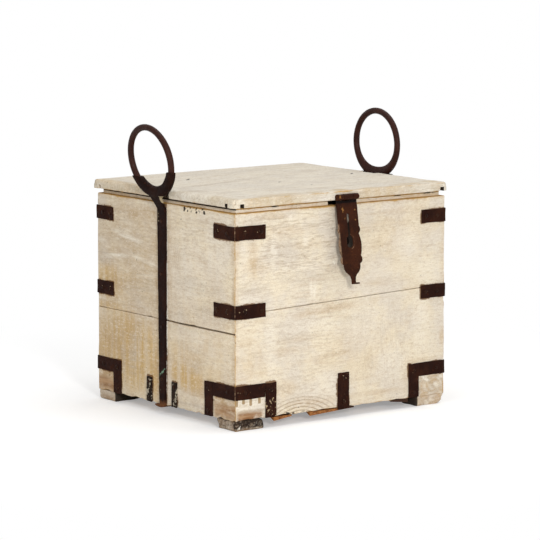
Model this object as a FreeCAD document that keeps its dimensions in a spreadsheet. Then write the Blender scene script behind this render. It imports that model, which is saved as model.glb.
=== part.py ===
import FreeCAD, Part
import Sketcher
import os

# A whitewashed plank box on four feet, bound with iron, with a hinged lid and a hasp.
# X runs along the front, the front faces -Y, and Z = 0 is the floor between the feet.

doc = FreeCAD.newDocument("storage_box")
sheet = doc.addObject("Spreadsheet::Sheet", "dims")

# Driving sizes in millimetres and degrees
SIZES = {
    # walls, with the rim that carries the lid
    "box_length": 450,
    "box_depth": 400,
    "wall_height": 345,
    "wall_thickness": 18,
    "front_seam_left": 177,
    "front_seam_right": 191,
    "end_seam": 146,
    "rim_height": 9,
    "rim_inset": 7.5,
    "hasp_gap": 52,
    # floor, runners and feet
    "floor_thickness": 12,
    "runner_thick": 7,
    "runner_thin": 2.5,
    "side_runner_width": 38,
    "foot_runner_gap": 19,
    "left_runner_gap": 38,
    "right_runner_gap": 81,
    "foot_height": 17,
    "foot_length": 60,
    "foot_width": 50,
    "foot_inset": 1,
    "foot_round": 8,
    # corner straps
    "strap_width": 23.5,
    "strap_thickness": 2,
    "left_arm": 62,
    "right_arm": 53,
    "front_arm": 57.5,
    "back_arm": 49,
    "upper_strap_drop": 21,
    "middle_strap_height": 170,
    # foot bands and their legs
    "band_left_arm": 61.5,
    "band_right_arm": 57,
    "band_front_arm": 61,
    "band_back_arm": 48.5,
    "band_height": 36,
    "leg_width": 23,
    # carry straps
    "bar_centre": 3,
    "bar_thickness": 4,
    "bar_top_width": 24,
    "bar_foot_width": 17,
    "jog_drop": 10,
    "neck_width": 36,
    "neck_thickness": 6,
    "neck_lap": 2,
    "toe_length": 48,
    "toe_width": 26,
    "toe_thickness": 5,
    "toe_shift": 8,
    # standing rings and the cradles that grip them
    "ring_radius": 57,
    "ring_bar": 11,
    "ring_gap": 2,
    "ring_seat": 8,
    "left_lean_degrees": 9.7,
    "right_lean_degrees": -0.7,
    "ring_clearance": 0.05,
    "cradle_wall": 2,
    "left_cradle_back_rise": 26,
    "left_cradle_front_rise": 40,
    "right_cradle_back_rise": 9,
    "right_cradle_front_rise": 9,
    "saddle_lift": 5,
    # cleats
    "end_cleat_width": 15,
    "end_cleat_thickness": 3,
    "end_cleat_height": 44,
    "end_cleat_back": 40,
    "end_cleat_front": 33,
    "cleat_width": 24,
    "cleat_thickness": 2.5,
    "cleat_height": 60,
    "cleat_lap": 2.5,
    "cleat_shift": 2,
    # lid
    "lid_board": 8,
    "lip_thickness": 7,
    "lip_width": 26,
    "front_overhang": 6,
    "end_overhang": 5,
    "back_overhang": 3,
    "corner_block_flat": 2,
    "corner_block_width": 20,
    "corner_gap": 7,
    "lid_round": 10,
    "notch_depth": 9,
    "notch_front": 24,
    "notch_back": 21,
    "lid_batten_width": 40,
    "lid_batten_reach": 80,
    "lid_batten_gap": 4,
    # back hinges
    "hinge_gap": 13,
    "hinge_width": 40,
    "hinge_leaf": 44,
    "hinge_plate": 2,
    "lid_leaf_margin": 1,
    "knuckle_radius": 4.5,
    "middle_knuckle": 14,
    "knuckle_gap": 0.4,
    "hinge_pin": 4,
    "pin_slack": 0.05,
    # hasp and its hinge plate
    "barrel_radius": 5.25,
    "barrel_length": 45,
    "barrel_setoff": 0.5,
    "eye_length": 19,
    "eye_leaf_width": 17,
    "hasp_pin": 3.5,
    "hasp_plate": 2.5,
    "hasp_lean_degrees": 9,
    "hasp_width": 44,
    "hasp_straight": 50,
    "ear_width": 48,
    "ear_length": 12,
    "hasp_neck": 40,
    "lobe_width": 48,
    "lobe_length": 38,
    "barb_width": 46,
    "barb_length": 13,
    "waist_width": 35,
    "heel_width": 33,
    "heel_length": 16,
    "tail_root": 20,
    "taper_width": 11.5,
    "taper_length": 11,
    "tail_width": 9,
    "tail_length": 6.5,
    "tip_reach": 10,
    "slit_start": 28,
    "slit_width": 3.8,
    "keyhole_drop": 75,
    "keyhole_width": 13,
    "keyhole_height": 20,
    # staple
    "staple_wire": 4.5,
    "staple_pitch": 11,
    "staple_reach": 17,
    "staple_depth": 12,
    # nails
    "nail_head": 8,
    "nail_crown": 4,
    "nail_rise": 1.6,
    "nail_shank": 3,
    "nail_length": 12,
    "nail_inset": 9,
    "nail_corner": 21,
}
for row, (alias, number) in enumerate(SIZES.items(), start=1):
    sheet.set(f"A{row}", alias)
    sheet.set(f"B{row}", str(number))
    sheet.setAlias(f"B{row}", alias)
doc.recompute()

# Planes that the pieces share
LEFT = "(-dims.box_length / 2)"
RIGHT = "(dims.box_length / 2)"
FRONT = "(-dims.box_depth / 2)"
BACK = "(dims.box_depth / 2)"
WALL_BOTTOM = "dims.foot_height"
WALL_TOP = "(dims.foot_height + dims.wall_height)"
LID_BOTTOM = f"({WALL_TOP} + dims.rim_height)"
BOARD_BOTTOM = f"({LID_BOTTOM} + dims.lip_thickness)"
LID_TOP = f"({BOARD_BOTTOM} + dims.lid_board)"
LID_LEFT = f"({LEFT} - dims.end_overhang)"
LID_RIGHT = f"({RIGHT} + dims.end_overhang)"
LID_FRONT = f"({FRONT} - dims.front_overhang)"
LID_BACK = f"({BACK} + dims.back_overhang)"
BLOCK_LENGTH = "(dims.lid_round + dims.corner_block_flat)"
LID_SEAM = f"(({LID_FRONT} + {LID_BACK}) / 2)"
RING_SEAT = f"({LID_BOTTOM} + dims.ring_seat)"
RING_STANDOFF = "(dims.end_overhang + dims.ring_gap + dims.cradle_wall + dims.ring_bar / 2)"
HINGE_Y = f"({LID_BACK} + dims.knuckle_radius)"
HINGE_Z = f"({WALL_TOP} + dims.knuckle_radius)"
BARREL_Y = f"({LID_FRONT} - dims.barrel_setoff - dims.barrel_radius)"
BARREL_Z = f"({LID_BOTTOM} + dims.barrel_radius)"

ACROSS_X = FreeCAD.Rotation(FreeCAD.Vector(0, 1, 0), 90)
ACROSS_Y = FreeCAD.Rotation(FreeCAD.Vector(1, 0, 0), 90)
TAPER_ALONG_X = FreeCAD.Rotation(FreeCAD.Vector(0, 0, 1), -90)
TAPER_ALONG_Z = FreeCAD.Rotation(FreeCAD.Vector(1, 0, 0), 90)
BAR_NAILS = 4
STAPLE_BOW = FreeCAD.Rotation(FreeCAD.Vector(1, 0, 1), 180)

TOUCH = 0.001

pieces = []


def mm(alias):
    return float(sheet.get(alias))


def bind(obj, expressions):
    for name, expression in expressions.items():
        obj.setExpression(name, expression)
    return obj


def place(obj, x, y, z):
    return bind(obj, {"Placement.Base.x": x, "Placement.Base.y": y, "Placement.Base.z": z})


def piece(obj, label):
    obj.Label = label
    pieces.append(obj)
    return obj


def box(name, x, y, z):
    obj = doc.addObject("Part::Box", name)
    bind(obj, {
        "Length": f"{x[1]} - ({x[0]})",
        "Width": f"{y[1]} - ({y[0]})",
        "Height": f"{z[1]} - ({z[0]})",
    })
    return place(obj, x[0], y[0], z[0])


def cylinder(name, turn, start, radius, length):
    obj = doc.addObject("Part::Cylinder", name)
    obj.Placement.Rotation = turn
    bind(obj, {"Radius": radius, "Height": length})
    return place(obj, *start)


def taper_x(name, x, y, left_z, right_z):
    # A board whose height changes from its left end to its right end
    obj = doc.addObject("Part::Wedge", name)
    obj.Placement.Rotation = TAPER_ALONG_X
    return bind(obj, {
        "Ymin": x[0], "Ymax": x[1],
        "Xmin": f"-({y[1]})", "Xmax": f"-({y[0]})",
        "X2min": f"-({y[1]})", "X2max": f"-({y[0]})",
        "Zmin": left_z[0], "Zmax": left_z[1],
        "Z2min": right_z[0], "Z2max": right_z[1],
    })


def taper_z(name, z, low_x, high_x, low_y, high_y):
    # A bar whose section changes from its foot to its head
    obj = doc.addObject("Part::Wedge", name)
    obj.Placement.Rotation = TAPER_ALONG_Z
    return bind(obj, {
        "Ymin": z[0], "Ymax": z[1],
        "Xmin": low_x[0], "Xmax": low_x[1],
        "X2min": high_x[0], "X2max": high_x[1],
        "Zmin": f"-({low_y[1]})", "Zmax": f"-({low_y[0]})",
        "Z2min": f"-({high_y[1]})", "Z2max": f"-({high_y[0]})",
    })


def fuse(name, shapes):
    obj = doc.addObject("Part::MultiFuse", name)
    obj.Shapes = shapes
    return obj


def cut(name, base, tools):
    obj = doc.addObject("Part::Cut", name)
    obj.Base = base
    obj.Tool = tools[0] if len(tools) == 1 else fuse(name + "_tools", tools)
    return obj


def group(name, shapes):
    obj = doc.addObject("Part::Compound", name)
    obj.Links = shapes
    return obj


def round_uprights(name, base, radius, is_wanted):
    # Rounds the vertical edges whose X and Y the test accepts
    doc.recompute()
    chosen = []
    for number, edge in enumerate(base.Shape.Edges, start=1):
        low, high = edge.Vertexes[0].Point, edge.Vertexes[-1].Point
        upright = abs(low.x - high.x) < TOUCH and abs(low.y - high.y) < TOUCH
        if upright and is_wanted(low.x, low.y):
            chosen.append((number, radius, radius))
    obj = doc.addObject("Part::Fillet", name)
    obj.Base = base
    obj.Edges = chosen
    return obj


# Mitres: each wall is cut at 45 degrees where it meets its neighbours
MITRE_TURN = {"front": 45, "right": 135, "back": -135, "left": -45}
WALL_CORNERS = {
    "front": ((LEFT, FRONT), (RIGHT, FRONT)),
    "right": ((RIGHT, FRONT), (RIGHT, BACK)),
    "back": ((LEFT, BACK), (RIGHT, BACK)),
    "left": ((LEFT, FRONT), (LEFT, BACK)),
}


def mitred(name, side, board):
    tools = []
    for number, (x, y) in enumerate(WALL_CORNERS[side]):
        tool = doc.addObject("Part::Box", f"{name}_mitre_{number}")
        tool.Placement.Rotation = FreeCAD.Rotation(FreeCAD.Vector(0, 0, 1), MITRE_TURN[side])
        bind(tool, {
            "Length": "2 * dims.wall_thickness",
            "Width": "2 * dims.wall_thickness",
            "Height": LID_TOP,
        })
        tools.append(place(tool, x, y, "0"))
    return piece(cut(f"{name}_cut", board, tools), name)


# Front and back walls: a lower board, and an upper board that carries the rim
def long_wall(side, y, rim_y, rim_spans):
    seam_left = f"{WALL_BOTTOM} + dims.front_seam_left"
    seam_right = f"{WALL_BOTTOM} + dims.front_seam_right"
    lower = taper_x(
        f"{side}_lower_plank", (LEFT, RIGHT), y, (WALL_BOTTOM, seam_left), (WALL_BOTTOM, seam_right))
    upper = taper_x(f"{side}_upper_plank", (LEFT, RIGHT), y, (seam_left, WALL_TOP), (seam_right, WALL_TOP))
    rims = [
        box(f"{side}_rim", span, rim_y, (WALL_TOP, LID_BOTTOM))
        for span in rim_spans
    ]
    mitred(f"{side}_lower_board", side, lower)
    mitred(f"{side}_upper_board", side, fuse(f"{side}_upper", [upper] + rims))


RIM_LEFT = f"{LEFT} + dims.rim_inset"
RIM_RIGHT = f"{RIGHT} - dims.rim_inset"
RIM_FRONT = f"{FRONT} + dims.rim_inset"
RIM_BACK = f"{BACK} - dims.rim_inset"
INNER_FRONT = f"{FRONT} + dims.wall_thickness"
INNER_BACK = f"{BACK} - dims.wall_thickness"
long_wall(
    "front",
    (FRONT, INNER_FRONT),
    (RIM_FRONT, INNER_FRONT),
    [(RIM_LEFT, "-dims.hasp_gap / 2"), ("dims.hasp_gap / 2", RIM_RIGHT)],
)
long_wall("back", (INNER_BACK, BACK), (INNER_BACK, RIM_BACK), [(RIM_LEFT, RIM_RIGHT)])


# End walls, made the same way, with a level seam
def end_wall(side, x, rim_x):
    seam = f"{WALL_BOTTOM} + dims.end_seam"
    lower = box(f"{side}_lower_plank", x, (FRONT, BACK), (WALL_BOTTOM, seam))
    upper = box(f"{side}_upper_plank", x, (FRONT, BACK), (seam, WALL_TOP))
    rim = box(f"{side}_rim", rim_x, (RIM_FRONT, RIM_BACK), (WALL_TOP, LID_BOTTOM))
    mitred(f"{side}_lower_board", side, lower)
    mitred(f"{side}_upper_board", side, fuse(f"{side}_upper", [upper, rim]))


INNER_LEFT = f"{LEFT} + dims.wall_thickness"
INNER_RIGHT = f"{RIGHT} - dims.wall_thickness"
end_wall("left", (LEFT, INNER_LEFT), (RIM_LEFT, INNER_LEFT))
end_wall("right", (INNER_RIGHT, RIGHT), (INNER_RIGHT, RIM_RIGHT))

# Floor boards, laid lengthways between the walls
FLOOR_TOP = f"{WALL_BOTTOM} + dims.floor_thickness"
for name, y in (("front", (INNER_FRONT, "0")), ("back", ("0", INNER_BACK))):
    floor = box(f"{name}_floor_board", (INNER_LEFT, INNER_RIGHT), y, (WALL_BOTTOM, FLOOR_TOP))
    piece(floor, f"{name}_floor_board")

# Runners: split boards, thick at one edge, nailed under the floor from front to back
THICK_EDGE = (f"{WALL_BOTTOM} - dims.runner_thick", WALL_BOTTOM)
THIN_EDGE = (f"{WALL_BOTTOM} - dims.runner_thin", WALL_BOTTOM)
RUNNER_INSET = "(dims.foot_inset + dims.foot_length + dims.foot_runner_gap)"
LEFT_RUNNER = (f"{LEFT} + {RUNNER_INSET}", f"{LEFT} + {RUNNER_INSET} + dims.side_runner_width")
RIGHT_RUNNER = (f"{RIGHT} - {RUNNER_INSET} - dims.side_runner_width", f"{RIGHT} - {RUNNER_INSET}")
MIDDLE_RUNNER = (f"{LEFT_RUNNER[1]} + dims.left_runner_gap", f"{RIGHT_RUNNER[0]} - dims.right_runner_gap")
for name, x, left_z, right_z in (
    ("left_runner", LEFT_RUNNER, THICK_EDGE, THIN_EDGE),
    ("middle_runner", MIDDLE_RUNNER, THICK_EDGE, THIN_EDGE),
    ("right_runner", RIGHT_RUNNER, THIN_EDGE, THICK_EDGE),
):
    piece(taper_x(name, x, (FRONT, BACK), left_z, right_z), name)


def from_corner(x_side, y_side, start_x, end_x, start_y, end_y):
    # Spans in X and Y that are measured inwards from one corner of the box
    x_ends = (f"{LEFT} + {start_x}", f"{LEFT} + {end_x}")
    y_ends = (f"{FRONT} + {start_y}", f"{FRONT} + {end_y}")
    if x_side == "right":
        x_ends = (f"{RIGHT} - ({end_x})", f"{RIGHT} - ({start_x})")
    if y_side == "back":
        y_ends = (f"{BACK} - ({end_y})", f"{BACK} - ({start_y})")
    return x_ends, y_ends


# Feet: a rough block under each corner of the walls, rounded away from the corner
def foot(x_side, y_side):
    x, y = from_corner(
        x_side, y_side,
        "dims.foot_inset", "(dims.foot_inset + dims.foot_length)",
        "dims.foot_inset", "(dims.foot_inset + dims.foot_width)",
    )
    block = box(f"foot_block_{y_side}_{x_side}", x, y, ("0", WALL_BOTTOM))
    inner_x = mm("box_length") / 2 - mm("foot_inset") - mm("foot_length") / 2
    inner_y = mm("box_depth") / 2 - mm("foot_inset") - mm("foot_width") / 2
    rounded = round_uprights(
        f"foot_{y_side}_{x_side}", block, mm("foot_round"),
        lambda px, py: abs(px) < inner_x or abs(py) < inner_y,
    )
    piece(rounded, f"{y_side}_{x_side}_foot")


# Iron that wraps round one corner: an arm along the long wall and one along the end wall
def corner_iron(name, x_side, y_side, arm_x, arm_y, z):
    thick = "dims.strap_thickness"
    along_x = from_corner(x_side, y_side, f"(-{thick})", arm_x, f"(-{thick})", "0")
    along_y = from_corner(x_side, y_side, f"(-{thick})", "0", f"(-{thick})", arm_y)
    arms = [
        box(f"{name}_long_arm", *along_x, z),
        box(f"{name}_end_arm", *along_y, z),
    ]
    return piece(fuse(f"{name}_iron", arms), name)


def foot_legs(name, x_side, y_side, arm_x, arm_y, z):
    thick = "dims.strap_thickness"
    on_wall = from_corner(x_side, y_side, arm_x, f"({arm_x} + dims.leg_width)", f"(-{thick})", "0")
    on_end = from_corner(x_side, y_side, f"(-{thick})", "0", arm_y, f"({arm_y} + dims.leg_width)")
    legs = [
        box(f"{name}_wall_leg", *on_wall, z),
        box(f"{name}_end_leg", *on_end, z),
    ]
    return piece(group(f"{name}_pair", legs), name)


UPPER_TOP = f"({WALL_TOP} - dims.upper_strap_drop)"
UPPER = (f"{UPPER_TOP} - dims.strap_width", UPPER_TOP)
MIDDLE_LOW = f"({WALL_BOTTOM} + dims.middle_strap_height)"
MIDDLE = (MIDDLE_LOW, f"{MIDDLE_LOW} + dims.strap_width")
BAND_LOW = f"({WALL_BOTTOM} + dims.band_height)"
BAND = (BAND_LOW, f"{BAND_LOW} + dims.strap_width")
LEG = (WALL_BOTTOM, BAND[1])
CORNERS = [("left", "front"), ("right", "front"), ("left", "back"), ("right", "back")]
straps = []
bands = []
legs = []
for x_side, y_side in CORNERS:
    foot(x_side, y_side)
    corner = f"{y_side}_{x_side}"
    arm_x, arm_y = f"dims.{x_side}_arm", f"dims.{y_side}_arm"
    band_x, band_y = f"dims.band_{x_side}_arm", f"dims.band_{y_side}_arm"
    for name, z in (("upper", UPPER), ("middle", MIDDLE)):
        strap = corner_iron(f"{corner}_{name}_strap", x_side, y_side, arm_x, arm_y, z)
        straps.append((strap, x_side, y_side))
    band = corner_iron(f"{corner}_foot_band", x_side, y_side, band_x, band_y, BAND)
    bands.append((band, x_side, y_side))
    pair = foot_legs(f"{corner}_foot_legs", x_side, y_side, band_x, band_y, LEG)
    legs.append((pair, x_side, y_side))


# Rings and the straps that carry them: a bar down the end wall, a neck that steps out past the
# lid to a cradle, and a toe turned under the wall
def ring_torus(name, side, bar_radius, lift="0"):
    sign = "-1" if side == "left" else "1"
    lean = f"dims.{side}_lean_degrees"
    obj = doc.addObject("Part::Torus", name)
    obj.Placement.Rotation = ACROSS_X
    bind(obj, {
        "Radius1": "dims.ring_radius",
        "Radius2": bar_radius,
        "Placement.Rotation.Angle": f"90 + {sign} * {lean}",
    })
    rise = f"(dims.ring_radius + {lift})"
    reach = f"(dims.box_length / 2 + {RING_STANDOFF} + {rise} * sin({lean} * 1deg))"
    return place(
        obj, f"{sign} * {reach}", "dims.bar_centre", f"{RING_SEAT} + {rise} * cos({lean} * 1deg)")


def around(centre, width):
    return (f"{centre} - {width} / 2", f"{centre} + {width} / 2")


def carry_strap(side):
    outward = side == "right"
    face = RIGHT if outward else LEFT
    bar_x = (face, f"{face} + dims.bar_thickness") if outward else (f"{face} - dims.bar_thickness", face)
    toe_x = (f"{face} - dims.toe_length", bar_x[1]) if outward else (bar_x[0], f"{face} + dims.toe_length")
    seat_x = f"({face} + {RING_STANDOFF})" if outward else f"({face} - {RING_STANDOFF})"
    neck_x = around(seat_x, "dims.neck_thickness")
    jog_z = f"({WALL_TOP} - dims.jog_drop)"
    foot_y = around("dims.bar_centre", "dims.bar_foot_width")
    top_y = around("dims.bar_centre", "dims.bar_top_width")
    bar = taper_z(f"{side}_bar", (WALL_BOTTOM, jog_z), bar_x, bar_x, foot_y, top_y)
    neck = taper_z(
        f"{side}_neck", (jog_z, f"{RING_SEAT} - dims.neck_lap"), bar_x, neck_x,
        top_y, around("dims.bar_centre", "dims.neck_width"))
    toe = box(
        f"{side}_toe", toe_x, around("(dims.bar_centre + dims.toe_shift)", "dims.toe_width"),
        (f"{WALL_BOTTOM} - dims.toe_thickness", WALL_BOTTOM))
    sleeve_radius = "dims.ring_bar / 2 + dims.cradle_wall"
    sleeve = ring_torus(f"{side}_sleeve", side, sleeve_radius)
    saddle = ring_torus(f"{side}_saddle", side, sleeve_radius, "dims.saddle_lift")
    arms = []
    for end, y in (
        ("back", ("dims.bar_centre", "dims.bar_centre + dims.ring_radius * 2")),
        ("front", ("dims.bar_centre - dims.ring_radius * 2", "dims.bar_centre")),
    ):
        arms.append(box(
            f"{side}_{end}_arm_limit", around(seat_x, "dims.ring_radius * 2"), y,
            (f"{RING_SEAT} - dims.ring_radius", f"{RING_SEAT} + dims.{side}_cradle_{end}_rise")))
    cradle = doc.addObject("Part::MultiCommon", f"{side}_cradle")
    cradle.Shapes = [fuse(f"{side}_sleeve_and_saddle", [sleeve, saddle]), fuse(f"{side}_cradle_limit", arms)]
    bore = ring_torus(f"{side}_ring_bore", side, "dims.ring_bar / 2 + dims.ring_clearance")
    whole = fuse(f"{side}_strap_whole", [bar, neck, toe, cradle])
    return piece(cut(f"{side}_strap", whole, [bore]), f"{side}_carry_strap")


carry_straps = {}
for side in ("left", "right"):
    carry_straps[side] = carry_strap(side)
    piece(ring_torus(f"{side}_ring_bar", side, "dims.ring_bar / 2"), f"{side}_ring")

# Cleats: two short ones beside each carry strap, one in the middle of the front and of the back
end_cleats = []
for side, x in (
    ("left", (f"{LEFT} - dims.end_cleat_thickness", LEFT)),
    ("right", (RIGHT, f"{RIGHT} + dims.end_cleat_thickness")),
):
    for end, centre in (
        ("back", "(dims.bar_centre + dims.end_cleat_back)"),
        ("front", "(dims.bar_centre - dims.end_cleat_front)"),
    ):
        end_cleats.append(box(
            f"{side}_{end}_cleat", x, around(centre, "dims.end_cleat_width"),
            (WALL_BOTTOM, f"{WALL_BOTTOM} + dims.end_cleat_height")))
piece(group("end_cleat_set", end_cleats), "end_cleats")
cleats = []
CLEAT_X = around("dims.cleat_shift", "dims.cleat_width")
CLEAT_Z = (f"{WALL_BOTTOM} - dims.cleat_lap", f"{WALL_BOTTOM} + dims.cleat_height")
for side, y in (
    ("front", (f"{FRONT} - dims.cleat_thickness", FRONT)),
    ("back", (BACK, f"{BACK} + dims.cleat_thickness")),
):
    cleats.append(piece(box(f"{side}_cleat_plate", CLEAT_X, y, CLEAT_Z), f"{side}_cleat"))

# Lid boards, notched where the carry straps pass and rounded at the lid's corners
notches = []
for side, x in (
    ("left", (f"{LID_LEFT} - dims.notch_depth", f"{LID_LEFT} + dims.notch_depth")),
    ("right", (f"{LID_RIGHT} - dims.notch_depth", f"{LID_RIGHT} + dims.notch_depth")),
):
    notches.append(box(
        f"{side}_notch", x,
        ("dims.bar_centre - dims.notch_front", "dims.bar_centre + dims.notch_back"),
        (f"{LID_BOTTOM} - dims.lip_thickness", f"{LID_TOP} + dims.lid_board")))


def at_lid_corner(px, py):
    beyond_x = abs(px) > mm("box_length") / 2 + mm("end_overhang") - TOUCH
    beyond_front = py < -mm("box_depth") / 2 - mm("front_overhang") + TOUCH
    beyond_back = py > mm("box_depth") / 2 + mm("back_overhang") - TOUCH
    return beyond_x and (beyond_front or beyond_back)


for side, y in (("front", (LID_FRONT, LID_SEAM)), ("back", (LID_SEAM, LID_BACK))):
    plank = box(f"lid_{side}_plank", (LID_LEFT, LID_RIGHT), y, (BOARD_BOTTOM, LID_TOP))
    notched = cut(f"lid_{side}_notched", plank, notches)
    piece(round_uprights(f"lid_{side}", notched, mm("lid_round"), at_lid_corner), f"lid_{side}_board")

# Corner blocks and lips under the lid's edges, with a gap beside each block
LIP = (LID_BOTTOM, BOARD_BOTTOM)
blocks = []
for x_side, x in (
    ("left", (LID_LEFT, f"{LID_LEFT} + {BLOCK_LENGTH}")),
    ("right", (f"{LID_RIGHT} - {BLOCK_LENGTH}", LID_RIGHT)),
):
    for y_side, y in (
        ("front", (LID_FRONT, f"{LID_FRONT} + dims.corner_block_width")),
        ("back", (f"{LID_BACK} - dims.corner_block_width", LID_BACK)),
    ):
        block = box(f"{y_side}_{x_side}_block", x, y, LIP)
        blocks.append(round_uprights(f"{y_side}_{x_side}_corner", block, mm("lid_round"), at_lid_corner))
piece(group("corner_block_set", blocks), "lid_corner_blocks")

LIP_X = (
    f"{LID_LEFT} + {BLOCK_LENGTH} + dims.corner_gap",
    f"{LID_RIGHT} - {BLOCK_LENGTH} - dims.corner_gap",
)
LIP_FRONT = f"({LID_FRONT} + dims.lip_width)"
LIP_BACK = f"({LID_BACK} - dims.lip_width)"
front_strip = box("front_strip", LIP_X, (LID_FRONT, LIP_FRONT), LIP)
leaf_recess = box(
    "leaf_recess", around("0", "dims.eye_leaf_width"), (LID_FRONT, LIP_FRONT),
    (LID_BOTTOM, f"{LID_BOTTOM} + dims.hasp_plate"))
piece(cut("front_lip", front_strip, [leaf_recess]), "lid_front_lip")
piece(box("back_lip", LIP_X, (LIP_BACK, LID_BACK), LIP), "lid_back_lip")
for number, (side, x) in enumerate((
    ("left", (LID_LEFT, f"{LID_LEFT} + dims.lip_width")),
    ("right", (f"{LID_RIGHT} - dims.lip_width", LID_RIGHT)),
)):
    strip = box(f"{side}_strip", x, (LIP_FRONT, LIP_BACK), LIP)
    piece(cut(f"{side}_lip", strip, [notches[number]]), f"lid_{side}_lip")

# Battens that hold the lid's boards together, between the lips
BATTEN_Y = (f"{LIP_FRONT} + dims.lid_batten_gap", f"{LIP_BACK} - dims.lid_batten_gap")
battens = [
    box(f"{side}_lid_batten", around(centre, "dims.lid_batten_width"), BATTEN_Y, LIP)
    for side, centre in (("left", "(-dims.lid_batten_reach)"), ("right", "dims.lid_batten_reach"))
]
piece(group("batten_pair", battens), "lid_battens")


# Back hinges: the wall's leaf turns out under its two knuckles, the lid's leaf hangs its own between
def hinge(side):
    inset = "(max(dims.left_arm, dims.right_arm) + dims.hinge_gap + dims.hinge_width / 2)"
    centre = f"({LEFT} + {inset})" if side == "left" else f"({RIGHT} - {inset})"
    wide = around(centre, "dims.hinge_width")
    narrow = around(centre, "dims.middle_knuckle")
    room = around(centre, "(dims.middle_knuckle + 2 * dims.knuckle_gap)")
    bore = cylinder(
        f"{side}_hinge_bore", ACROSS_X, (wide[0], HINGE_Y, HINGE_Z),
        "dims.hinge_pin / 2 + dims.pin_slack", "dims.hinge_width")

    plate = box(
        f"{side}_wall_plate", wide, (BACK, f"{BACK} + dims.hinge_plate"),
        (f"{WALL_TOP} - dims.hinge_leaf", f"{WALL_TOP} + dims.hinge_plate"))
    bridge = box(
        f"{side}_bridge", wide, (BACK, HINGE_Y), (WALL_TOP, f"{WALL_TOP} + dims.hinge_plate"))
    barrel = cylinder(
        f"{side}_wall_barrel", ACROSS_X, (wide[0], HINGE_Y, HINGE_Z),
        "dims.knuckle_radius", "dims.hinge_width")
    clearing = cylinder(
        f"{side}_clearing", ACROSS_X, (room[0], HINGE_Y, HINGE_Z),
        "dims.knuckle_radius + dims.knuckle_gap", "dims.middle_knuckle + 2 * dims.knuckle_gap")
    whole = fuse(f"{side}_wall_leaf_whole", [plate, bridge, barrel])
    wall_leaf = piece(cut(f"{side}_wall_leaf", whole, [clearing, bore]), f"{side}_hinge_wall_leaf")

    leaf_y = (LID_BACK, f"{LID_BACK} + dims.hinge_plate")
    leaf_bottom = f"({HINGE_Z} + dims.knuckle_radius + dims.knuckle_gap)"
    leaf = box(f"{side}_lid_plate", wide, leaf_y, (leaf_bottom, f"{LID_TOP} - dims.lid_leaf_margin"))
    tab = box(f"{side}_tab", narrow, leaf_y, (HINGE_Z, leaf_bottom))
    knuckle = cylinder(
        f"{side}_lid_knuckle", ACROSS_X, (narrow[0], HINGE_Y, HINGE_Z),
        "dims.knuckle_radius", "dims.middle_knuckle")
    whole = fuse(f"{side}_lid_leaf_whole", [leaf, tab, knuckle])
    lid_leaf = piece(cut(f"{side}_lid_leaf", whole, [bore]), f"{side}_hinge_lid_leaf")

    pin = cylinder(
        f"{side}_pin", ACROSS_X, (wide[0], HINGE_Y, HINGE_Z), "dims.hinge_pin / 2", "dims.hinge_width")
    return wall_leaf, lid_leaf, pin


hinges = [hinge("left"), hinge("right")]
piece(group("hinge_pin_pair", [pin for _, _, pin in hinges]), "hinge_pins")

# The hasp's eye: a knuckle with a leaf let into the lid's front lip
eye_knuckle = cylinder(
    "eye_knuckle", ACROSS_X, ("-dims.eye_length / 2", BARREL_Y, BARREL_Z),
    "dims.barrel_radius", "dims.eye_length")
eye_leaf = box(
    "eye_leaf", around("0", "dims.eye_leaf_width"), (BARREL_Y, LIP_FRONT),
    (LID_BOTTOM, f"{LID_BOTTOM} + dims.hasp_plate"))
eye_bore = cylinder(
    "eye_bore", ACROSS_X, ("-dims.barrel_length / 2", BARREL_Y, BARREL_Z),
    "dims.hasp_pin / 2 + dims.pin_slack", "dims.barrel_length")
hasp_eye = piece(cut("eye", fuse("eye_whole", [eye_knuckle, eye_leaf]), [eye_bore]), "hasp_eye")
piece(
    cylinder(
        "hasp_rod", ACROSS_X, ("-dims.barrel_length / 2", BARREL_Y, BARREL_Z),
        "dims.hasp_pin / 2", "dims.barrel_length"),
    "hasp_pin")

# Hasp outline, from the barrel's axis down: width at each station and the bulge between stations
STATIONS = [
    ("hasp_width", None, None),
    ("hasp_width", None, "hasp_straight"),
    ("hasp_neck", "ear_width", "ear_length"),
    ("hasp_neck", "lobe_width", "lobe_length"),
    ("waist_width", "barb_width", "barb_length"),
    ("tail_root", "heel_width", "heel_length"),
    ("tail_width", "taper_width", "taper_length"),
    ("tail_width", None, "tail_length"),
]


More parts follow.
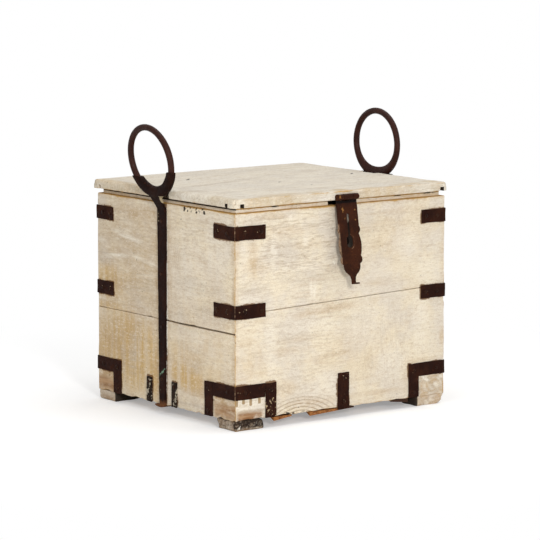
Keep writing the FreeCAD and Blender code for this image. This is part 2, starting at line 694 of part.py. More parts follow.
def hasp_plate():
    body = doc.addObject("PartDesign::Body", "hasp_plate")
    sketch = body.newObject("Sketcher::SketchObject", "hasp_outline")
    plane = next(item for item in body.Origin.OriginFeatures if item.Role == "XZ_Plane")
    sketch.AttachmentSupport = [(plane, "")]
    sketch.MapMode = "FlatFace"

    def point(width, drop, side):
        return FreeCAD.Vector(side * mm(width) / 2, -drop, 0)

    def pin_end(geometry, end, width, run):
        spot = sketch.getPoint(geometry, end)
        across = sketch.addConstraint(Sketcher.Constraint("DistanceX", -1, 1, geometry, end, spot.x))
        down = sketch.addConstraint(Sketcher.Constraint("DistanceY", -1, 1, geometry, end, spot.y))
        sign = "-" if spot.x < 0 else ""
        depth = " + ".join(["0"] + [f"dims.{name}" for name in run])
        sketch.setExpression(f"Constraints[{across}]", f"{sign}dims.{width} / 2")
        sketch.setExpression(f"Constraints[{down}]", f"-({depth})")

    def stretch(first, last, first_width, first_run, last_width, last_run, curve):
        geometry = sketch.addGeometry(curve)
        start = sketch.getPoint(geometry, 1)
        ends = [(first_width, first_run), (last_width, last_run)]
        if start.distanceToPoint(last) < start.distanceToPoint(first):
            ends.reverse()
        pin_end(geometry, 1, *ends[0])
        pin_end(geometry, 2, *ends[1])

    for side in (1, -1):
        run = []
        drop = 0.0
        for (width, _, _), (next_width, bulge, length) in zip(STATIONS, STATIONS[1:]):
            first = point(width, drop, side)
            middle = drop + mm(length) / 2
            last = point(next_width, drop + mm(length), side)
            curve = Part.LineSegment(first, last)
            if bulge:
                curve = Part.Arc(first, point(bulge, middle, side), last)
            stretch(first, last, width, run, next_width, run + [length], curve)
            run = run + [length]
            drop += mm(length)
    for width, depth, names in ((STATIONS[0][0], 0.0, []), (STATIONS[-1][0], drop, run)):
        first, last = point(width, depth, 1), point(width, depth, -1)
        stretch(first, last, width, names, width, names, Part.LineSegment(first, last))

    pad = body.newObject("PartDesign::Pad", "hasp_pad")
    pad.Profile = sketch
    bind(pad, {"Length": "dims.hasp_plate"})
    bind(body, {"Placement.Base.y": "dims.barrel_radius"})
    return body


# The hasp is made about its own pin, with its leaf behind the roll, and then hung, leaning out, on the
# lid's front edge. The leaf is slotted at its head to pass the eye's leaf.
HASP_LENGTH = "(" + " + ".join(f"dims.{length}" for _, _, length in STATIONS if length) + ")"
HASP_FRONT = "(dims.barrel_radius - dims.hasp_plate)"
hasp_barrel = cylinder(
    "hasp_barrel", ACROSS_X, ("-dims.barrel_length / 2", "0", "0"),
    "dims.barrel_radius", "dims.barrel_length")
hasp_tip = box(
    "hasp_tip", around("0", "dims.tail_width"), (f"{HASP_FRONT} - dims.tip_reach", HASP_FRONT),
    (f"-{HASP_LENGTH}", f"-{HASP_LENGTH} + dims.hasp_plate"))
through_y = (f"{HASP_FRONT} - dims.hasp_plate", f"{HASP_FRONT} + 2 * dims.hasp_plate")
slit = box("slit", around("0", "dims.slit_width"), through_y, ("-dims.keyhole_drop", "-dims.slit_start"))
straight = "((dims.keyhole_height - dims.keyhole_width) / 2)"
keyhole = [
    box(
        "keyhole_middle", around("0", "dims.keyhole_width"), through_y,
        (f"-dims.keyhole_drop - {straight}", f"-dims.keyhole_drop + {straight}"))
]
for name, sign in (("low", "-"), ("high", "+")):
    keyhole.append(cylinder(
        f"keyhole_{name}", ACROSS_Y, ("0", through_y[1], f"-dims.keyhole_drop {sign} {straight}"),
        "dims.keyhole_width / 2", "3 * dims.hasp_plate"))
eye_room = cylinder(
    "eye_room", ACROSS_X, ("-dims.eye_length / 2 - dims.knuckle_gap", "0", "0"),
    "dims.barrel_radius + dims.knuckle_gap", "dims.eye_length + 2 * dims.knuckle_gap")
eye_slot = box(
    "eye_slot", around("0", "(dims.eye_length + 2 * dims.knuckle_gap)"),
    ("0", "dims.barrel_radius + dims.knuckle_gap"), ("-dims.barrel_radius - dims.knuckle_gap", "0"))
hasp_bore = cylinder(
    "hasp_bore", ACROSS_X, ("-dims.barrel_length / 2", "0", "0"),
    "dims.hasp_pin / 2 + dims.pin_slack", "dims.barrel_length")
hasp_whole = fuse("hasp_whole", [hasp_plate(), hasp_barrel, hasp_tip])
hasp = cut("hasp_cut", hasp_whole, [eye_room, eye_slot, hasp_bore, slit] + keyhole)
hasp.Placement.Rotation = FreeCAD.Rotation(FreeCAD.Vector(-1, 0, 0), mm("hasp_lean_degrees"))
bind(place(hasp, "0", BARREL_Y, BARREL_Z), {"Placement.Rotation.Angle": "dims.hasp_lean_degrees"})
piece(hasp, "hasp")

# Staple: a wire bow on two legs driven into the front wall, level with the keyhole
STAPLE_Z = f"({BARREL_Z} - dims.keyhole_drop * cos(dims.hasp_lean_degrees * 1deg))"
BOW_Y = f"({FRONT} - dims.staple_reach + dims.staple_wire / 2 + dims.staple_pitch / 2)"
bow = doc.addObject("Part::Torus", "staple_bow")
bow.Placement.Rotation = STAPLE_BOW
bind(bow, {"Radius1": "dims.staple_pitch / 2", "Radius2": "dims.staple_wire / 2"})
bow.Angle3 = 180
place(bow, "0", BOW_Y, STAPLE_Z)
staple_parts = [bow]
for name, sign in (("low", "-"), ("high", "+")):
    level = f"{STAPLE_Z} {sign} dims.staple_pitch / 2"
    staple_parts.append(cylinder(
        f"staple_leg_{name}", ACROSS_Y, ("0", f"{FRONT} + dims.staple_depth", level),
        "dims.staple_wire / 2", f"{FRONT} + dims.staple_depth - {BOW_Y}"))
piece(fuse("staple", staple_parts), "hasp_staple")

doc.recompute()


# Nails: a low head on the iron and a shank driven through it into the wood
def nail(spot, outward):
    head = Part.makeCone(mm("nail_head") / 2, mm("nail_crown") / 2, mm("nail_rise"), spot, outward)
    shank = Part.makeCylinder(mm("nail_shank") / 2, mm("nail_length"), spot, outward * -1)
    return head.fuse(shank).removeSplitter()


def nails_round_corner(iron, x_side, y_side, from_edge):
    # One nail on each arm at each given distance, counted from the corner or back from the arm's end
    room = iron.Shape.BoundBox
    level = (room.ZMin + room.ZMax) / 2
    x_way = 1 if x_side == "left" else -1
    y_way = 1 if y_side == "front" else -1
    corner_x, end_x = (room.XMin, room.XMax) if x_way > 0 else (room.XMax, room.XMin)
    corner_y, end_y = (room.YMin, room.YMax) if y_way > 0 else (room.YMax, room.YMin)
    made = []
    for distance, at_end in from_edge:
        x = end_x - x_way * distance if at_end else corner_x + x_way * distance
        y = end_y - y_way * distance if at_end else corner_y + y_way * distance
        made.append(nail(FreeCAD.Vector(x, corner_y, level), FreeCAD.Vector(0, -y_way, 0)))
        made.append(nail(FreeCAD.Vector(corner_x, y, level), FreeCAD.Vector(-x_way, 0, 0)))
    return made


box_nails = []
for iron, x_side, y_side in straps:
    spots = [(mm("nail_inset"), True), (mm("nail_corner"), False)]
    box_nails += nails_round_corner(iron, x_side, y_side, spots)
for iron, x_side, y_side in bands:
    box_nails += nails_round_corner(iron, x_side, y_side, [(mm("nail_corner"), False)])
for pair, x_side, y_side in legs:
    for leg in pair.Shape.Solids:
        room = leg.BoundBox
        on_wall = room.XLength > room.YLength
        for level in (room.ZMax - mm("strap_width") / 2, room.ZMin + mm("nail_inset")):
            if on_wall:
                way = -1 if y_side == "front" else 1
                spot = FreeCAD.Vector(room.Center.x, room.YMin if way < 0 else room.YMax, level)
                box_nails.append(nail(spot, FreeCAD.Vector(0, way, 0)))
            else:
                way = -1 if x_side == "left" else 1
                spot = FreeCAD.Vector(room.XMin if way < 0 else room.XMax, room.Center.y, level)
                box_nails.append(nail(spot, FreeCAD.Vector(way, 0, 0)))
for side, way in (("left", -1), ("right", 1)):
    reach = mm("box_length") / 2 + mm("bar_thickness")
    low = mm("foot_height") + mm("end_cleat_height")
    high = mm("foot_height") + mm("wall_height") - mm("jog_drop") - mm("nail_corner")
    for number in range(BAR_NAILS):
        level = low + (high - low) * number / (BAR_NAILS - 1)
        spot = FreeCAD.Vector(way * reach, mm("bar_centre"), level)
        box_nails.append(nail(spot, FreeCAD.Vector(way, 0, 0)))
for cleat in end_cleats:
    room = cleat.Shape.BoundBox
    way = -1 if room.Center.x < 0 else 1
    spot = FreeCAD.Vector(room.XMin if way < 0 else room.XMax, room.Center.y, room.ZMax - mm("nail_inset"))
    box_nails.append(nail(spot, FreeCAD.Vector(way, 0, 0)))
for cleat in cleats:
    room = cleat.Shape.BoundBox
    way = -1 if room.Center.y < 0 else 1
    for level in (room.ZMax - mm("nail_inset"), mm("foot_height") + mm("nail_inset")):
        spot = FreeCAD.Vector(room.Center.x, room.YMin if way < 0 else room.YMax, level)
        box_nails.append(nail(spot, FreeCAD.Vector(0, way, 0)))
lid_nails = []
wall_face = mm("box_depth") / 2 + mm("hinge_plate")
lid_face = wall_face + mm("back_overhang")
wall_top = mm("foot_height") + mm("wall_height")
for wall_leaf, lid_leaf, _ in hinges:
    room = wall_leaf.Shape.BoundBox
    lid_level = lid_leaf.Shape.BoundBox.ZMax - mm("nail_head") / 2
    for x in (room.XMin + mm("nail_inset"), room.XMax - mm("nail_inset")):
        for level in (room.ZMin + mm("nail_inset"), wall_top - mm("nail_inset")):
            box_nails.append(nail(FreeCAD.Vector(x, wall_face, level), FreeCAD.Vector(0, 1, 0)))
        lid_nails.append(nail(FreeCAD.Vector(x, lid_face, lid_level), FreeCAD.Vector(0, 1, 0)))
room = hasp_eye.Shape.BoundBox
spot = FreeCAD.Vector(0, room.YMax - mm("nail_inset"), room.ZMin)
lid_nails.append(nail(spot, FreeCAD.Vector(0, 0, -1)))
for label, nails in (("box_nails", box_nails), ("lid_nails", lid_nails)):
    feature = doc.addObject("Part::Feature", label)
    feature.Shape = Part.makeCompound(nails)
    piece(feature, label)

doc.recompute()
for obj in doc.Objects:
    if "Invalid" in obj.State or "Error" in obj.State:
        raise RuntimeError(f"{obj.Label} failed: {obj.State}")
for obj in pieces:
    if obj.Shape.isNull() or not obj.Shape.isValid() or not obj.Shape.Solids:
        raise RuntimeError(f"{obj.Label} has no sound shape")

os.makedirs("parts", exist_ok=True)
for obj in pieces:
    obj.Shape.exportStep(os.path.join("parts", obj.Label + ".step"))
print(len(pieces), "pieces written")
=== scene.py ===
import math

import bmesh
import bpy
import numpy as np
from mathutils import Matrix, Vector


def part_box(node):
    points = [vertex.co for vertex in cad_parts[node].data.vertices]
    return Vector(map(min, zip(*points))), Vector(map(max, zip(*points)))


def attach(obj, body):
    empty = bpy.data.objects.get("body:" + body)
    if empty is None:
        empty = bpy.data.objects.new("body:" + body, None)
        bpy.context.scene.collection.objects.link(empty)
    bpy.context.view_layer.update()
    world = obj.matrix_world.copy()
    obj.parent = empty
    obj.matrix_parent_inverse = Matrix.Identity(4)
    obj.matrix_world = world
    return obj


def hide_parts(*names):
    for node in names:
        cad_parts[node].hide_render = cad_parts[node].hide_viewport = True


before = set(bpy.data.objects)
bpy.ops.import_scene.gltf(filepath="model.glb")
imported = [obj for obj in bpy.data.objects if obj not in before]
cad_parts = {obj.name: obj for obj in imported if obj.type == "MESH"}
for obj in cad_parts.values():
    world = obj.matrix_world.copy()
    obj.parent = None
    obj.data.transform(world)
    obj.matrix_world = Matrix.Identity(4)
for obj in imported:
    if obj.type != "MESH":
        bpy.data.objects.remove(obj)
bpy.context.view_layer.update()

# Wall boards: two wide planks to each wall, mitred at the corners, with a rim above them that carries
# the lid. Sawn hardwood, limewashed by hand over older paint, and worn through along its edges.
MM = 0.001
EDGE_STEPS = np.array([0.0, 0.42, 0.73, 1.0])


def node_box(node):
    low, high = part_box(node)
    return np.array(low) / MM, np.array(high) / MM


def welded(mesh):
    """A mesh for editing, with the CAD's doubled points joined."""
    whole = bmesh.new()
    whole.from_mesh(mesh)
    bmesh.ops.remove_doubles(whole, verts=whole.verts, dist=1e-6)
    return whole


def islands_of(node):
    """The points of each separate solid in a CAD node, in millimetres, from left to right."""
    mesh = welded(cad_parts[node].data)
    waiting = set(mesh.verts)
    islands = []
    while waiting:
        found = [waiting.pop()]
        for vertex in found:
            for edge in vertex.link_edges:
                other = edge.other_vert(vertex)
                if other in waiting:
                    waiting.remove(other)
                    found.append(other)
        islands.append(np.array([vertex.co for vertex in found]) / MM)
    mesh.free()
    return sorted(islands, key=lambda points: tuple(np.round(points.min(axis=0), 3)))


def solids_of(node):
    return [(points.min(axis=0), points.max(axis=0)) for points in islands_of(node)]


def grid_lines(start, end, step, edge):
    """Even lines from start to end, with close ones inside both ends for the rounded edges."""
    count = max(1, round((end - start - 2 * edge) / step))
    middle = np.linspace(start + edge, end - edge, count + 1)
    lines = np.concatenate([start + EDGE_STEPS * edge, middle, end - EDGE_STEPS * edge])
    return np.unique(np.round(lines, 4))


def block(xs, ys, zs):
    """The closed surface of a block, divided along the given lines: points and outward quads."""
    outside = np.zeros((len(xs), len(ys), len(zs)), bool)
    outside[[0, -1]] = True
    outside[:, [0, -1]] = True
    outside[:, :, [0, -1]] = True
    index = np.full(outside.shape, -1)
    index[outside] = np.arange(outside.sum())
    i, j, k = np.nonzero(outside)
    points = np.column_stack([xs[i], ys[j], zs[k]])
    sides = [
        (index[0], False), (index[-1], True),
        (index[:, 0], True), (index[:, -1], False),
        (index[:, :, 0], False), (index[:, :, -1], True),
    ]
    faces = []
    for side, flip in sides:
        corners = [side[:-1, :-1], side[:-1, 1:], side[1:, 1:], side[1:, :-1]]
        quads = np.stack(corners, axis=-1).reshape(-1, 4)
        faces.append(quads[:, ::-1] if flip else quads)
    return points, np.concatenate(faces)


def round_edges(points, low, high, radius):
    """Moves the points of a square-edged block onto one whose edges are rounded by radius."""
    inner = np.clip(points, low + radius, high - radius)
    outward = points - inner
    reach = np.linalg.norm(outward, axis=1, keepdims=True)
    return inner + outward * radius / np.maximum(reach, 1e-9)


def ripple(points, size, seed, waves=20):
    """A smooth random field of about unit strength, with bumps about as large as size."""
    draw = np.random.default_rng(seed)
    turns = draw.normal(size=(waves, 3))
    turns *= draw.uniform(0.6, 1.5, (waves, 1)) * math.pi / np.linalg.norm(turns, axis=1, keepdims=True)
    phase = draw.uniform(0, 2 * math.pi, waves)
    return np.cos((points / size) @ turns.T + phase).sum(axis=1) * math.sqrt(2 / waves)


def join(parts):
    """Several point and quad sets as one."""
    starts = np.cumsum([0] + [len(points) for points, _ in parts])
    faces = [part_faces + start for (_, part_faces), start in zip(parts, starts)]
    return np.concatenate([points for points, _ in parts]), np.concatenate(faces)


def set_piece(name, mesh, body, nodes):
    piece = bpy.data.objects.new(name, mesh)
    bpy.context.scene.collection.objects.link(piece)
    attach(piece, body)
    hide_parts(*nodes)


def dress(mesh, finish, marks):
    """Gives a mesh its finish, and the marks that the finish reads."""
    for mark, values in marks.items():
        layer = mesh.attributes.new(mark, "FLOAT", "POINT")
        layer.data.foreach_set("value", np.asarray(values, np.float32))
    mesh.shade_smooth()
    mesh.materials.append(finish)


def add_piece(name, points, faces, finish, body, nodes, marks=None):
    mesh = bpy.data.meshes.new(name)
    mesh.from_pydata((points * MM).tolist(), [], faces.tolist())
    dress(mesh, finish, marks or {})
    set_piece(name, mesh, body, nodes)


def paint(red, green, blue):
    """A colour as it is seen, 0 to 255, as the linear colour that a shader takes."""
    seen = np.array([red, green, blue]) / 255
    linear = np.where(seen <= 0.04045, seen / 12.92, ((seen + 0.055) / 1.055) ** 2.4)
    return (*linear.tolist(), 1.0)


def feed(tree, node, inputs):
    """Gives each input of a node its value, or links it to another node's output."""
    for key, value in inputs.items():
        if isinstance(value, bpy.types.NodeSocket):
            tree.links.new(value, node.inputs[key])
        else:
            node.inputs[key].default_value = value


def add_node(tree, kind, output, inputs, **settings):
    """A new node with these settings and inputs. Gives back the output that is asked for."""
    node = tree.nodes.new(kind)
    for name, setting in settings.items():
        setattr(node, name, setting)
    feed(tree, node, inputs)
    return node.outputs[output]


def drawn_out(grain, along, across):
    return [along if axis == grain else across for axis in "XYZ"]


class Finish:
    """A material, built up from clouds of noise, marks on the mesh and coats of colour."""

    HAIR = 0.05
    ARCH_SPACING = 5.6

    def __init__(self, material):
        material.use_nodes = True
        self.material = material
        self.tree = material.node_tree
        self.surface = self.tree.nodes.get("Principled BSDF")
        self.colour = None

    def add(self, kind, output, inputs, **settings):
        return add_node(self.tree, kind, output, inputs, **settings)

    def placed(self, stretch, turn, shift):
        """Object coordinates, stretched, turned and shifted."""
        place = self.add("ShaderNodeTexCoord", "Object", {})
        inputs = {"Vector": place, "Scale": stretch, "Rotation": turn, "Location": shift}
        return self.add("ShaderNodeMapping", "Vector", inputs)

    def cloud(self, stretch, detail=4.0, rough=0.55, turn=(0, 0, 0), shift=(0, 0, 0), waver=0.0):
        """Noise on Object coordinates, drawn out along the axes that have a low number."""
        inputs = {"Scale": 1.0, "Detail": detail, "Roughness": rough, "Distortion": waver}
        inputs["Vector"] = self.placed(stretch, turn, shift)
        return self.add("ShaderNodeTexNoise", "Fac", inputs)

    def between(self, value, low, high, start=0.0, end=1.0):
        """Start below low, end above high, and a smooth change between them."""
        inputs = {"Value": value, "From Min": low, "From Max": high, "To Min": start, "To Max": end}
        return self.add("ShaderNodeMapRange", "Result", inputs, interpolation_type="SMOOTHSTEP")

    def combine(self, operation, first, second=0.0):
        return self.add("ShaderNodeMath", "Value", {0: first, 1: second}, operation=operation)

    def scaled(self, value, amount):
        return self.combine("MULTIPLY", value, amount)

    def mark(self, name):
        return self.add("ShaderNodeAttribute", "Fac", {}, attribute_name=name)

    def caught(self, name, grain, gain, low, high, most):
        """How much of a mark shows, from none to most, with its edge broken up by a cloud."""
        amount = self.combine("ADD", self.mark(name), self.scaled(grain, gain))
        return self.between(amount, low, high, 0.0, most)

    def blend(self, under, over, amount):
        inputs = {"Factor": amount, "A": under, "B": over}
        return self.add("ShaderNodeMix", "Result", inputs, data_type="RGBA")

    def coat(self, over, amount):
        """Lays a colour over those already there, where amount says."""
        self.colour = self.blend(self.colour, over, amount)

    def hairline(self, height):
        """Thin lines where a cloud passes through its middle value."""
        off_middle = self.combine("ABSOLUTE", self.combine("SUBTRACT", height, 0.5))
        return self.between(off_middle, 0.0, self.HAIR, 1.0, 0.0)

    def arched_grain(self, middle, squash):
        """Arches of grain round a point, as where a board is cut across its growth rings."""
        shift = [-m * MM * s for m, s in zip(middle, squash)]
        place = self.placed(squash, (0, 0, 0), shift)
        reach = self.add("ShaderNodeVectorMath", "Value", {0: place}, operation="LENGTH")
        turns = self.scaled(reach, 2 * math.pi / (self.ARCH_SPACING * MM))
        return self.between(self.combine("SINE", turns), 0.1, 0.9)

    def done(self, roughness, shine, height, depth, strength):
        """Gives the surface its colour, its gloss and its fine relief."""
        relief = {"Height": height, "Distance": depth, "Strength": strength}
        feed(self.tree, self.surface, {
            "Base Color": self.colour, "Roughness": roughness, "Specular IOR Level": shine,
            "Normal": self.add("ShaderNodeBump", "Normal", relief),
        })
        return self.material


def whitewash(name, grain, warm, cool, wood, thin, turn=(0, 0, 0), arch=((0, 0, 0), (1, 1, 1))):
    """Limewash over old paint. Marks on the mesh say where it is fresh, thin, yellowed, stained, worn and
    dirty, and where it is darkened as painted shade.
    """
    finish = Finish(bpy.data.materials.new(name))
    cloud, between, scaled, mark = finish.cloud, finish.between, finish.scaled, finish.mark
    coat, caught, combine = finish.coat, finish.caught, finish.combine
    blotch = cloud((15, 15, 15), detail=5.0, rough=0.6, shift=(4, 8, 1))
    patches = cloud(drawn_out(grain, 24, 48), detail=7.0, rough=0.68, turn=turn, shift=(7, 2, 9))
    veins = cloud(drawn_out(grain, 9, 130), detail=5.0, rough=0.6, turn=turn, shift=(3, 1, 2), waver=0.3)
    grit = cloud((520, 520, 520), detail=2.0, shift=(1, 5, 3))
    pores = cloud(drawn_out(grain, 120, 300), detail=3.0, rough=0.6, turn=turn, shift=(9, 4, 2))
    specks = cloud((190, 190, 190), detail=2.0, rough=0.6, shift=(6, 1, 8))
    brush = cloud(drawn_out("Z", 9, 85), detail=4.0, shift=(2, 6, 4))
    rows = finish.hairline(cloud(drawn_out(grain, 13, 125), detail=3.0, turn=turn, waver=0.2))
    crazing = finish.hairline(cloud(drawn_out("Z", 13, 130), detail=2.0, turn=(0.05, 0.05, 0)))
    broken = between(patches, 0.36, 0.62, 0.35, 1.0)
    streaky = between(veins, 0.38, 0.62, 0.35, 1.0)
    finish.colour = finish.blend(cool, warm, between(blotch, 0.38, 0.62))
    coat(AGED_LIME, scaled(mark("age"), between(brush, 0.36, 0.62, 0.5, 1.0)))
    coat(ASH_GREY, scaled(mark("ash"), streaky))
    coat(wood, between(patches, 0.54, 0.76, 0.0, thin))
    coat(wood, between(veins, 0.52, 0.70, 0.0, 0.40))
    coat(wood, scaled(mark("thin"), broken))
    coat(FRESH_LIME, scaled(mark("chalk"), streaky))
    lines = combine("MAXIMUM", scaled(rows, mark("rows")), scaled(crazing, mark("crazing")))
    arches = scaled(mark("arches"), finish.arched_grain(*arch))
    lines = scaled(combine("MAXIMUM", lines, arches), 0.45)
    coat(GRAIN_BROWN, lines)
    for texture, middle, most in ((pores, 0.52, 0.36), (grit, 0.50, 0.26)):
        coat(GRIT_BROWN, between(texture, middle, 0.72, 0.0, most))
        coat(FRESH_LIME, between(texture, 1 - middle, 0.30, 0.0, most))
    ragged = combine("ADD", scaled(patches, 0.45), scaled(specks, 0.75))
    coat(RUST_STAIN, caught("stain", ragged, 1.0, 0.98, 1.22, 0.85))
    coat(DRIP_GOLD, between(mark("drips"), 0.3, 0.7, 0.0, 0.8))
    coat(GOLD_WEAR, caught("wear", patches, 1.7, 1.36, 1.66, 0.85))
    dots = scaled(between(specks, 0.69, 0.73), between(blotch, 0.44, 0.56))
    coat(DARK_SPECK, scaled(dots, 0.6))
    bare_wood_colour = finish.blend(BARE_BROWN, BARE_PALE, between(veins, 0.36, 0.66))
    coat(bare_wood_colour, scaled(mark("bare"), broken))
    # Real dirt, and painted shade in gaps, in recesses, under the lid and on the feet's inner faces.
    coat(GRIME_AND_SHADE, caught("grime_and_shade", specks, 0.7, 0.74, 1.05, 0.96))
    coat(FRESH_LIME, caught("lime", specks, 0.6, 0.80, 0.95, 1.0))
    height = scaled(blotch, 0.6)
    for sunk in (scaled(lines, 0.6), scaled(grit, 0.5), between(patches, 0.5, 0.7, 0.0, 0.5)):
        height = combine("SUBTRACT", height, sunk)
    return finish.done(roughness=0.88, shine=0.2, height=height, depth=0.0006, strength=0.8)


FRESH_LIME, AGED_LIME, ASH_GREY = paint(241, 233, 217), paint(200, 160, 84), paint(190, 178, 163)
GRAIN_BROWN, GRIT_BROWN, DARK_SPECK = paint(150, 122, 90), paint(178, 150, 116), paint(84, 62, 42)
RUST_STAIN, GOLD_WEAR, GRIME_AND_SHADE = paint(112, 72, 30), paint(184, 140, 66), paint(30, 18, 11)
DRIP_GOLD, BARE_BROWN, BARE_PALE = paint(150, 118, 66), paint(134, 94, 60), paint(186, 150, 114)
WALL_LOW, _ = node_box("front_lower_board")
_, WALL_HIGH = node_box("back_upper_board")
HALF_LENGTH, HALF_DEPTH = -WALL_LOW[0], -WALL_LOW[1]
WALL_THICK = 18.0
RIM_HEIGHT, RIM_INSET = 9.0, 7.5
WALL_BOTTOM, RIM_TOP = WALL_LOW[2], WALL_HIGH[2]
WALL_TOP = RIM_TOP - RIM_HEIGHT
HASP_GAP = 26.0
LONG_SEAM, END_SEAM, SEAM_GAP = 201.0, 163.0, 0.35
SEAM_RISE = {"front": 7.0, "back": -7.0, "left": 0.0, "right": 0.0}
BOARD_STEP, CORNER_ROUND = 3.0, 2.4
BAND_UNDERSIDE = 53.0
CORNERS = [f"{end}_{side}" for end in ("front", "back") for side in ("left", "right")]
CORNER_IRONS = ("upper_strap", "middle_strap", "foot_band", "foot_legs")
WALL_IRONS = [f"{corner}_{kind}" for kind in CORNER_IRONS for corner in CORNERS]
WALL_IRONS += ["end_cleats", "front_cleat", "back_cleat", "left_hinge_wall_leaf", "right_hinge_wall_leaf"]
IRON_BOXES = [solid for node in WALL_IRONS for solid in solids_of(node)]
BAR_CENTRE, BAR_HALF, BAR_THICK = 3.0, 10.0, 4.0
BAR_HEAD_HALF, BAR_FOOT_HALF = 12.0, 8.5
for bar_face in (-HALF_LENGTH, HALF_LENGTH):
    IRON_BOXES.append((np.array([bar_face - BAR_THICK, BAR_CENTRE - BAR_HALF, WALL_BOTTOM]),
                       np.array([bar_face + BAR_THICK, BAR_CENTRE + BAR_HALF, WALL_TOP])))
STAIN_REACH = 2.6


def onto_wall(side, points):
    """Turns a board that was made lying along X, face at Y = 0, into its place in the wall."""
    along, deep, z = points.T
    if side == "front":
        return np.column_stack([along, deep - HALF_DEPTH, z])
    if side == "back":
        return np.column_stack([-along, HALF_DEPTH - deep, z])
    if side == "left":
        return np.column_stack([deep - HALF_LENGTH, -along, z])
    return np.column_stack([HALF_LENGTH - deep, along, z])


def iron_stain(points):
    """How near each point lies to an iron: 1 at its edge, less further away."""
    gap = np.full(len(points), 1e3)
    for low, high in IRON_BOXES:
        out = np.maximum(np.maximum(low - points, points - high), 0)
        gap = np.minimum(gap, np.linalg.norm(out, axis=1))
    return np.exp(-gap / STAIN_REACH) * (0.72 + 0.3 * ripple(points, 24, 3)).clip(0.2, 1.1)


def wall_board(low_z, high_z, spans, inset, rounding, seed, fine_along=(), fine_up=()):
    """One plank, or one rim strip, with eased edges, before it is mitred and set in its wall."""
    parts = []
    for start, end in spans:
        xs = np.unique(np.concatenate([grid_lines(start, end, BOARD_STEP, CORNER_ROUND), fine_along]))
        ys = grid_lines(inset, WALL_THICK, 5.0, 2.0)
        zs = np.unique(np.concatenate([grid_lines(low_z, high_z, BOARD_STEP, 1.6), fine_up]))
        points, faces = block(xs, ys, zs)
        low, high = np.array([start, inset, low_z]), np.array([end, WALL_THICK, high_z])
        parts.append((round_edges(points, low, high, rounding(points, seed)), faces))
    return join(parts)


def board_rounding(points, seed):
    nicks = np.maximum(ripple(points, 16, seed) - 1.1, 0)
    return (1.7 + 0.3 * ripple(points, 40, seed + 1) + 2.2 * nicks).clip(1.2, 5.0)[:, None]


def seam_rounding(points, seed):
    nicks = np.maximum(ripple(points, 14, seed) - 1.3, 0)
    return (0.9 + 0.2 * ripple(points, 30, seed + 1) + 1.2 * nicks).clip(0.6, 2.6)[:, None]


def hump(values, low, high, soft):
    """1 between low and high, falling to 0 over soft outside them."""
    return np.clip((values - low) / soft + 1, 0, 1) * np.clip((high - values) / soft + 1, 0, 1)


def strokes(along, z, laid):
    """Soft strokes of a brush or a cloth: middle along and up, half length and height, slant, strength."""
    total = np.zeros(len(z))
    for middle, level, half_length, half_height, slant, strength in laid:
        turn = math.radians(slant)
        off, up = along - middle, z - level
        a = (off * math.cos(turn) + up * math.sin(turn)) / half_length
        b = (up * math.cos(turn) - off * math.sin(turn)) / half_height
        total = np.maximum(total, strength * np.exp(-0.7 * (a * a + b * b) ** 2))
    return total


LONG_STROKES = {
    "chalk": [
        (-145, 295, 7, 30, 0, 0.6), (-110, 345, 4, 9, 0, 0.7), (-78, 307, 6, 12, 0, 0.6),
        (-66, 225, 3, 12, 4, 0.9), (-59, 223, 3, 13, -4, 0.8), (-150, 140, 11, 64, 0, 0.55),
        (140, 285, 24, 30, 0, 0.55), (172, 150, 18, 50, 0, 0.5), (55, 150, 45, 34, 0, 0.4),
        (-95, 264, 45, 7, -3, 0.5), (80, 250, 30, 16, 0, 0.35), (-30, 60, 40, 22, 0, 0.45),
        (105, 85, 36, 30, 0, 0.5), (-200, 215, 22, 9, 0, 0.4), (-60, 160, 50, 14, 3, 0.45),
        (190, 235, 26, 20, 0, 0.5),
    ],
    "thin": [
        (-188, 290, 9, 24, 0, 0.8), (-221, 300, 5, 26, 0, 0.8), (-20, 188, 78, 6, 3, 0.6),
        (-20, 110, 46, 5, 4, 0.6), (130, 343, 38, 7, 0, 0.45), (-205, 148, 18, 9, 0, 0.6),
        (-100, 143, 55, 5, 2, 0.5), (100, 225, 64, 7, 0, 0.4), (-120, 325, 50, 9, 0, 0.5),
        (-60, 300, 45, 7, 0, 0.4), (60, 320, 35, 9, 0, 0.35), (-125, 125, 30, 6, 0, 0.4),
        (221, 115, 6, 16, 0, 0.9), (221, 250, 5, 60, 0, 0.5), (-170, 180, 20, 4, 0, 0.8),
        (15, 35, 130, 5, 0, 0.4), (-223, 250, 4, 110, 0, 0.7), (-223, 130, 4, 60, 0, 0.6),
        (100, 280, 60, 50, 0, 0.3), (160, 320, 40, 30, 0, 0.3),
    ],
    "age": [
        (-190, 110, 28, 30, 0, 0.22), (-120, 62, 24, 14, 0, 0.25), (40, 118, 70, 46, 0, 0.16),
        (110, 305, 36, 30, 0, 0.14), (-185, 268, 20, 18, 0, 0.25), (-205, 40, 16, 24, 0, 0.2),
        (150, 60, 20, 26, 0, 0.15),
    ],
    "ash": [
        (-120, 290, 40, 26, 0, 0.55), (-195, 236, 30, 12, 0, 0.5), (-110, 146, 50, 10, 3, 0.45),
        (-30, 328, 44, 14, 0, 0.4), (85, 328, 44, 18, 0, 0.3), (-75, 245, 60, 12, -2, 0.4),
        (25, 165, 30, 8, 0, 0.3), (-170, 350, 50, 7, 0, 0.35),
    ],
}
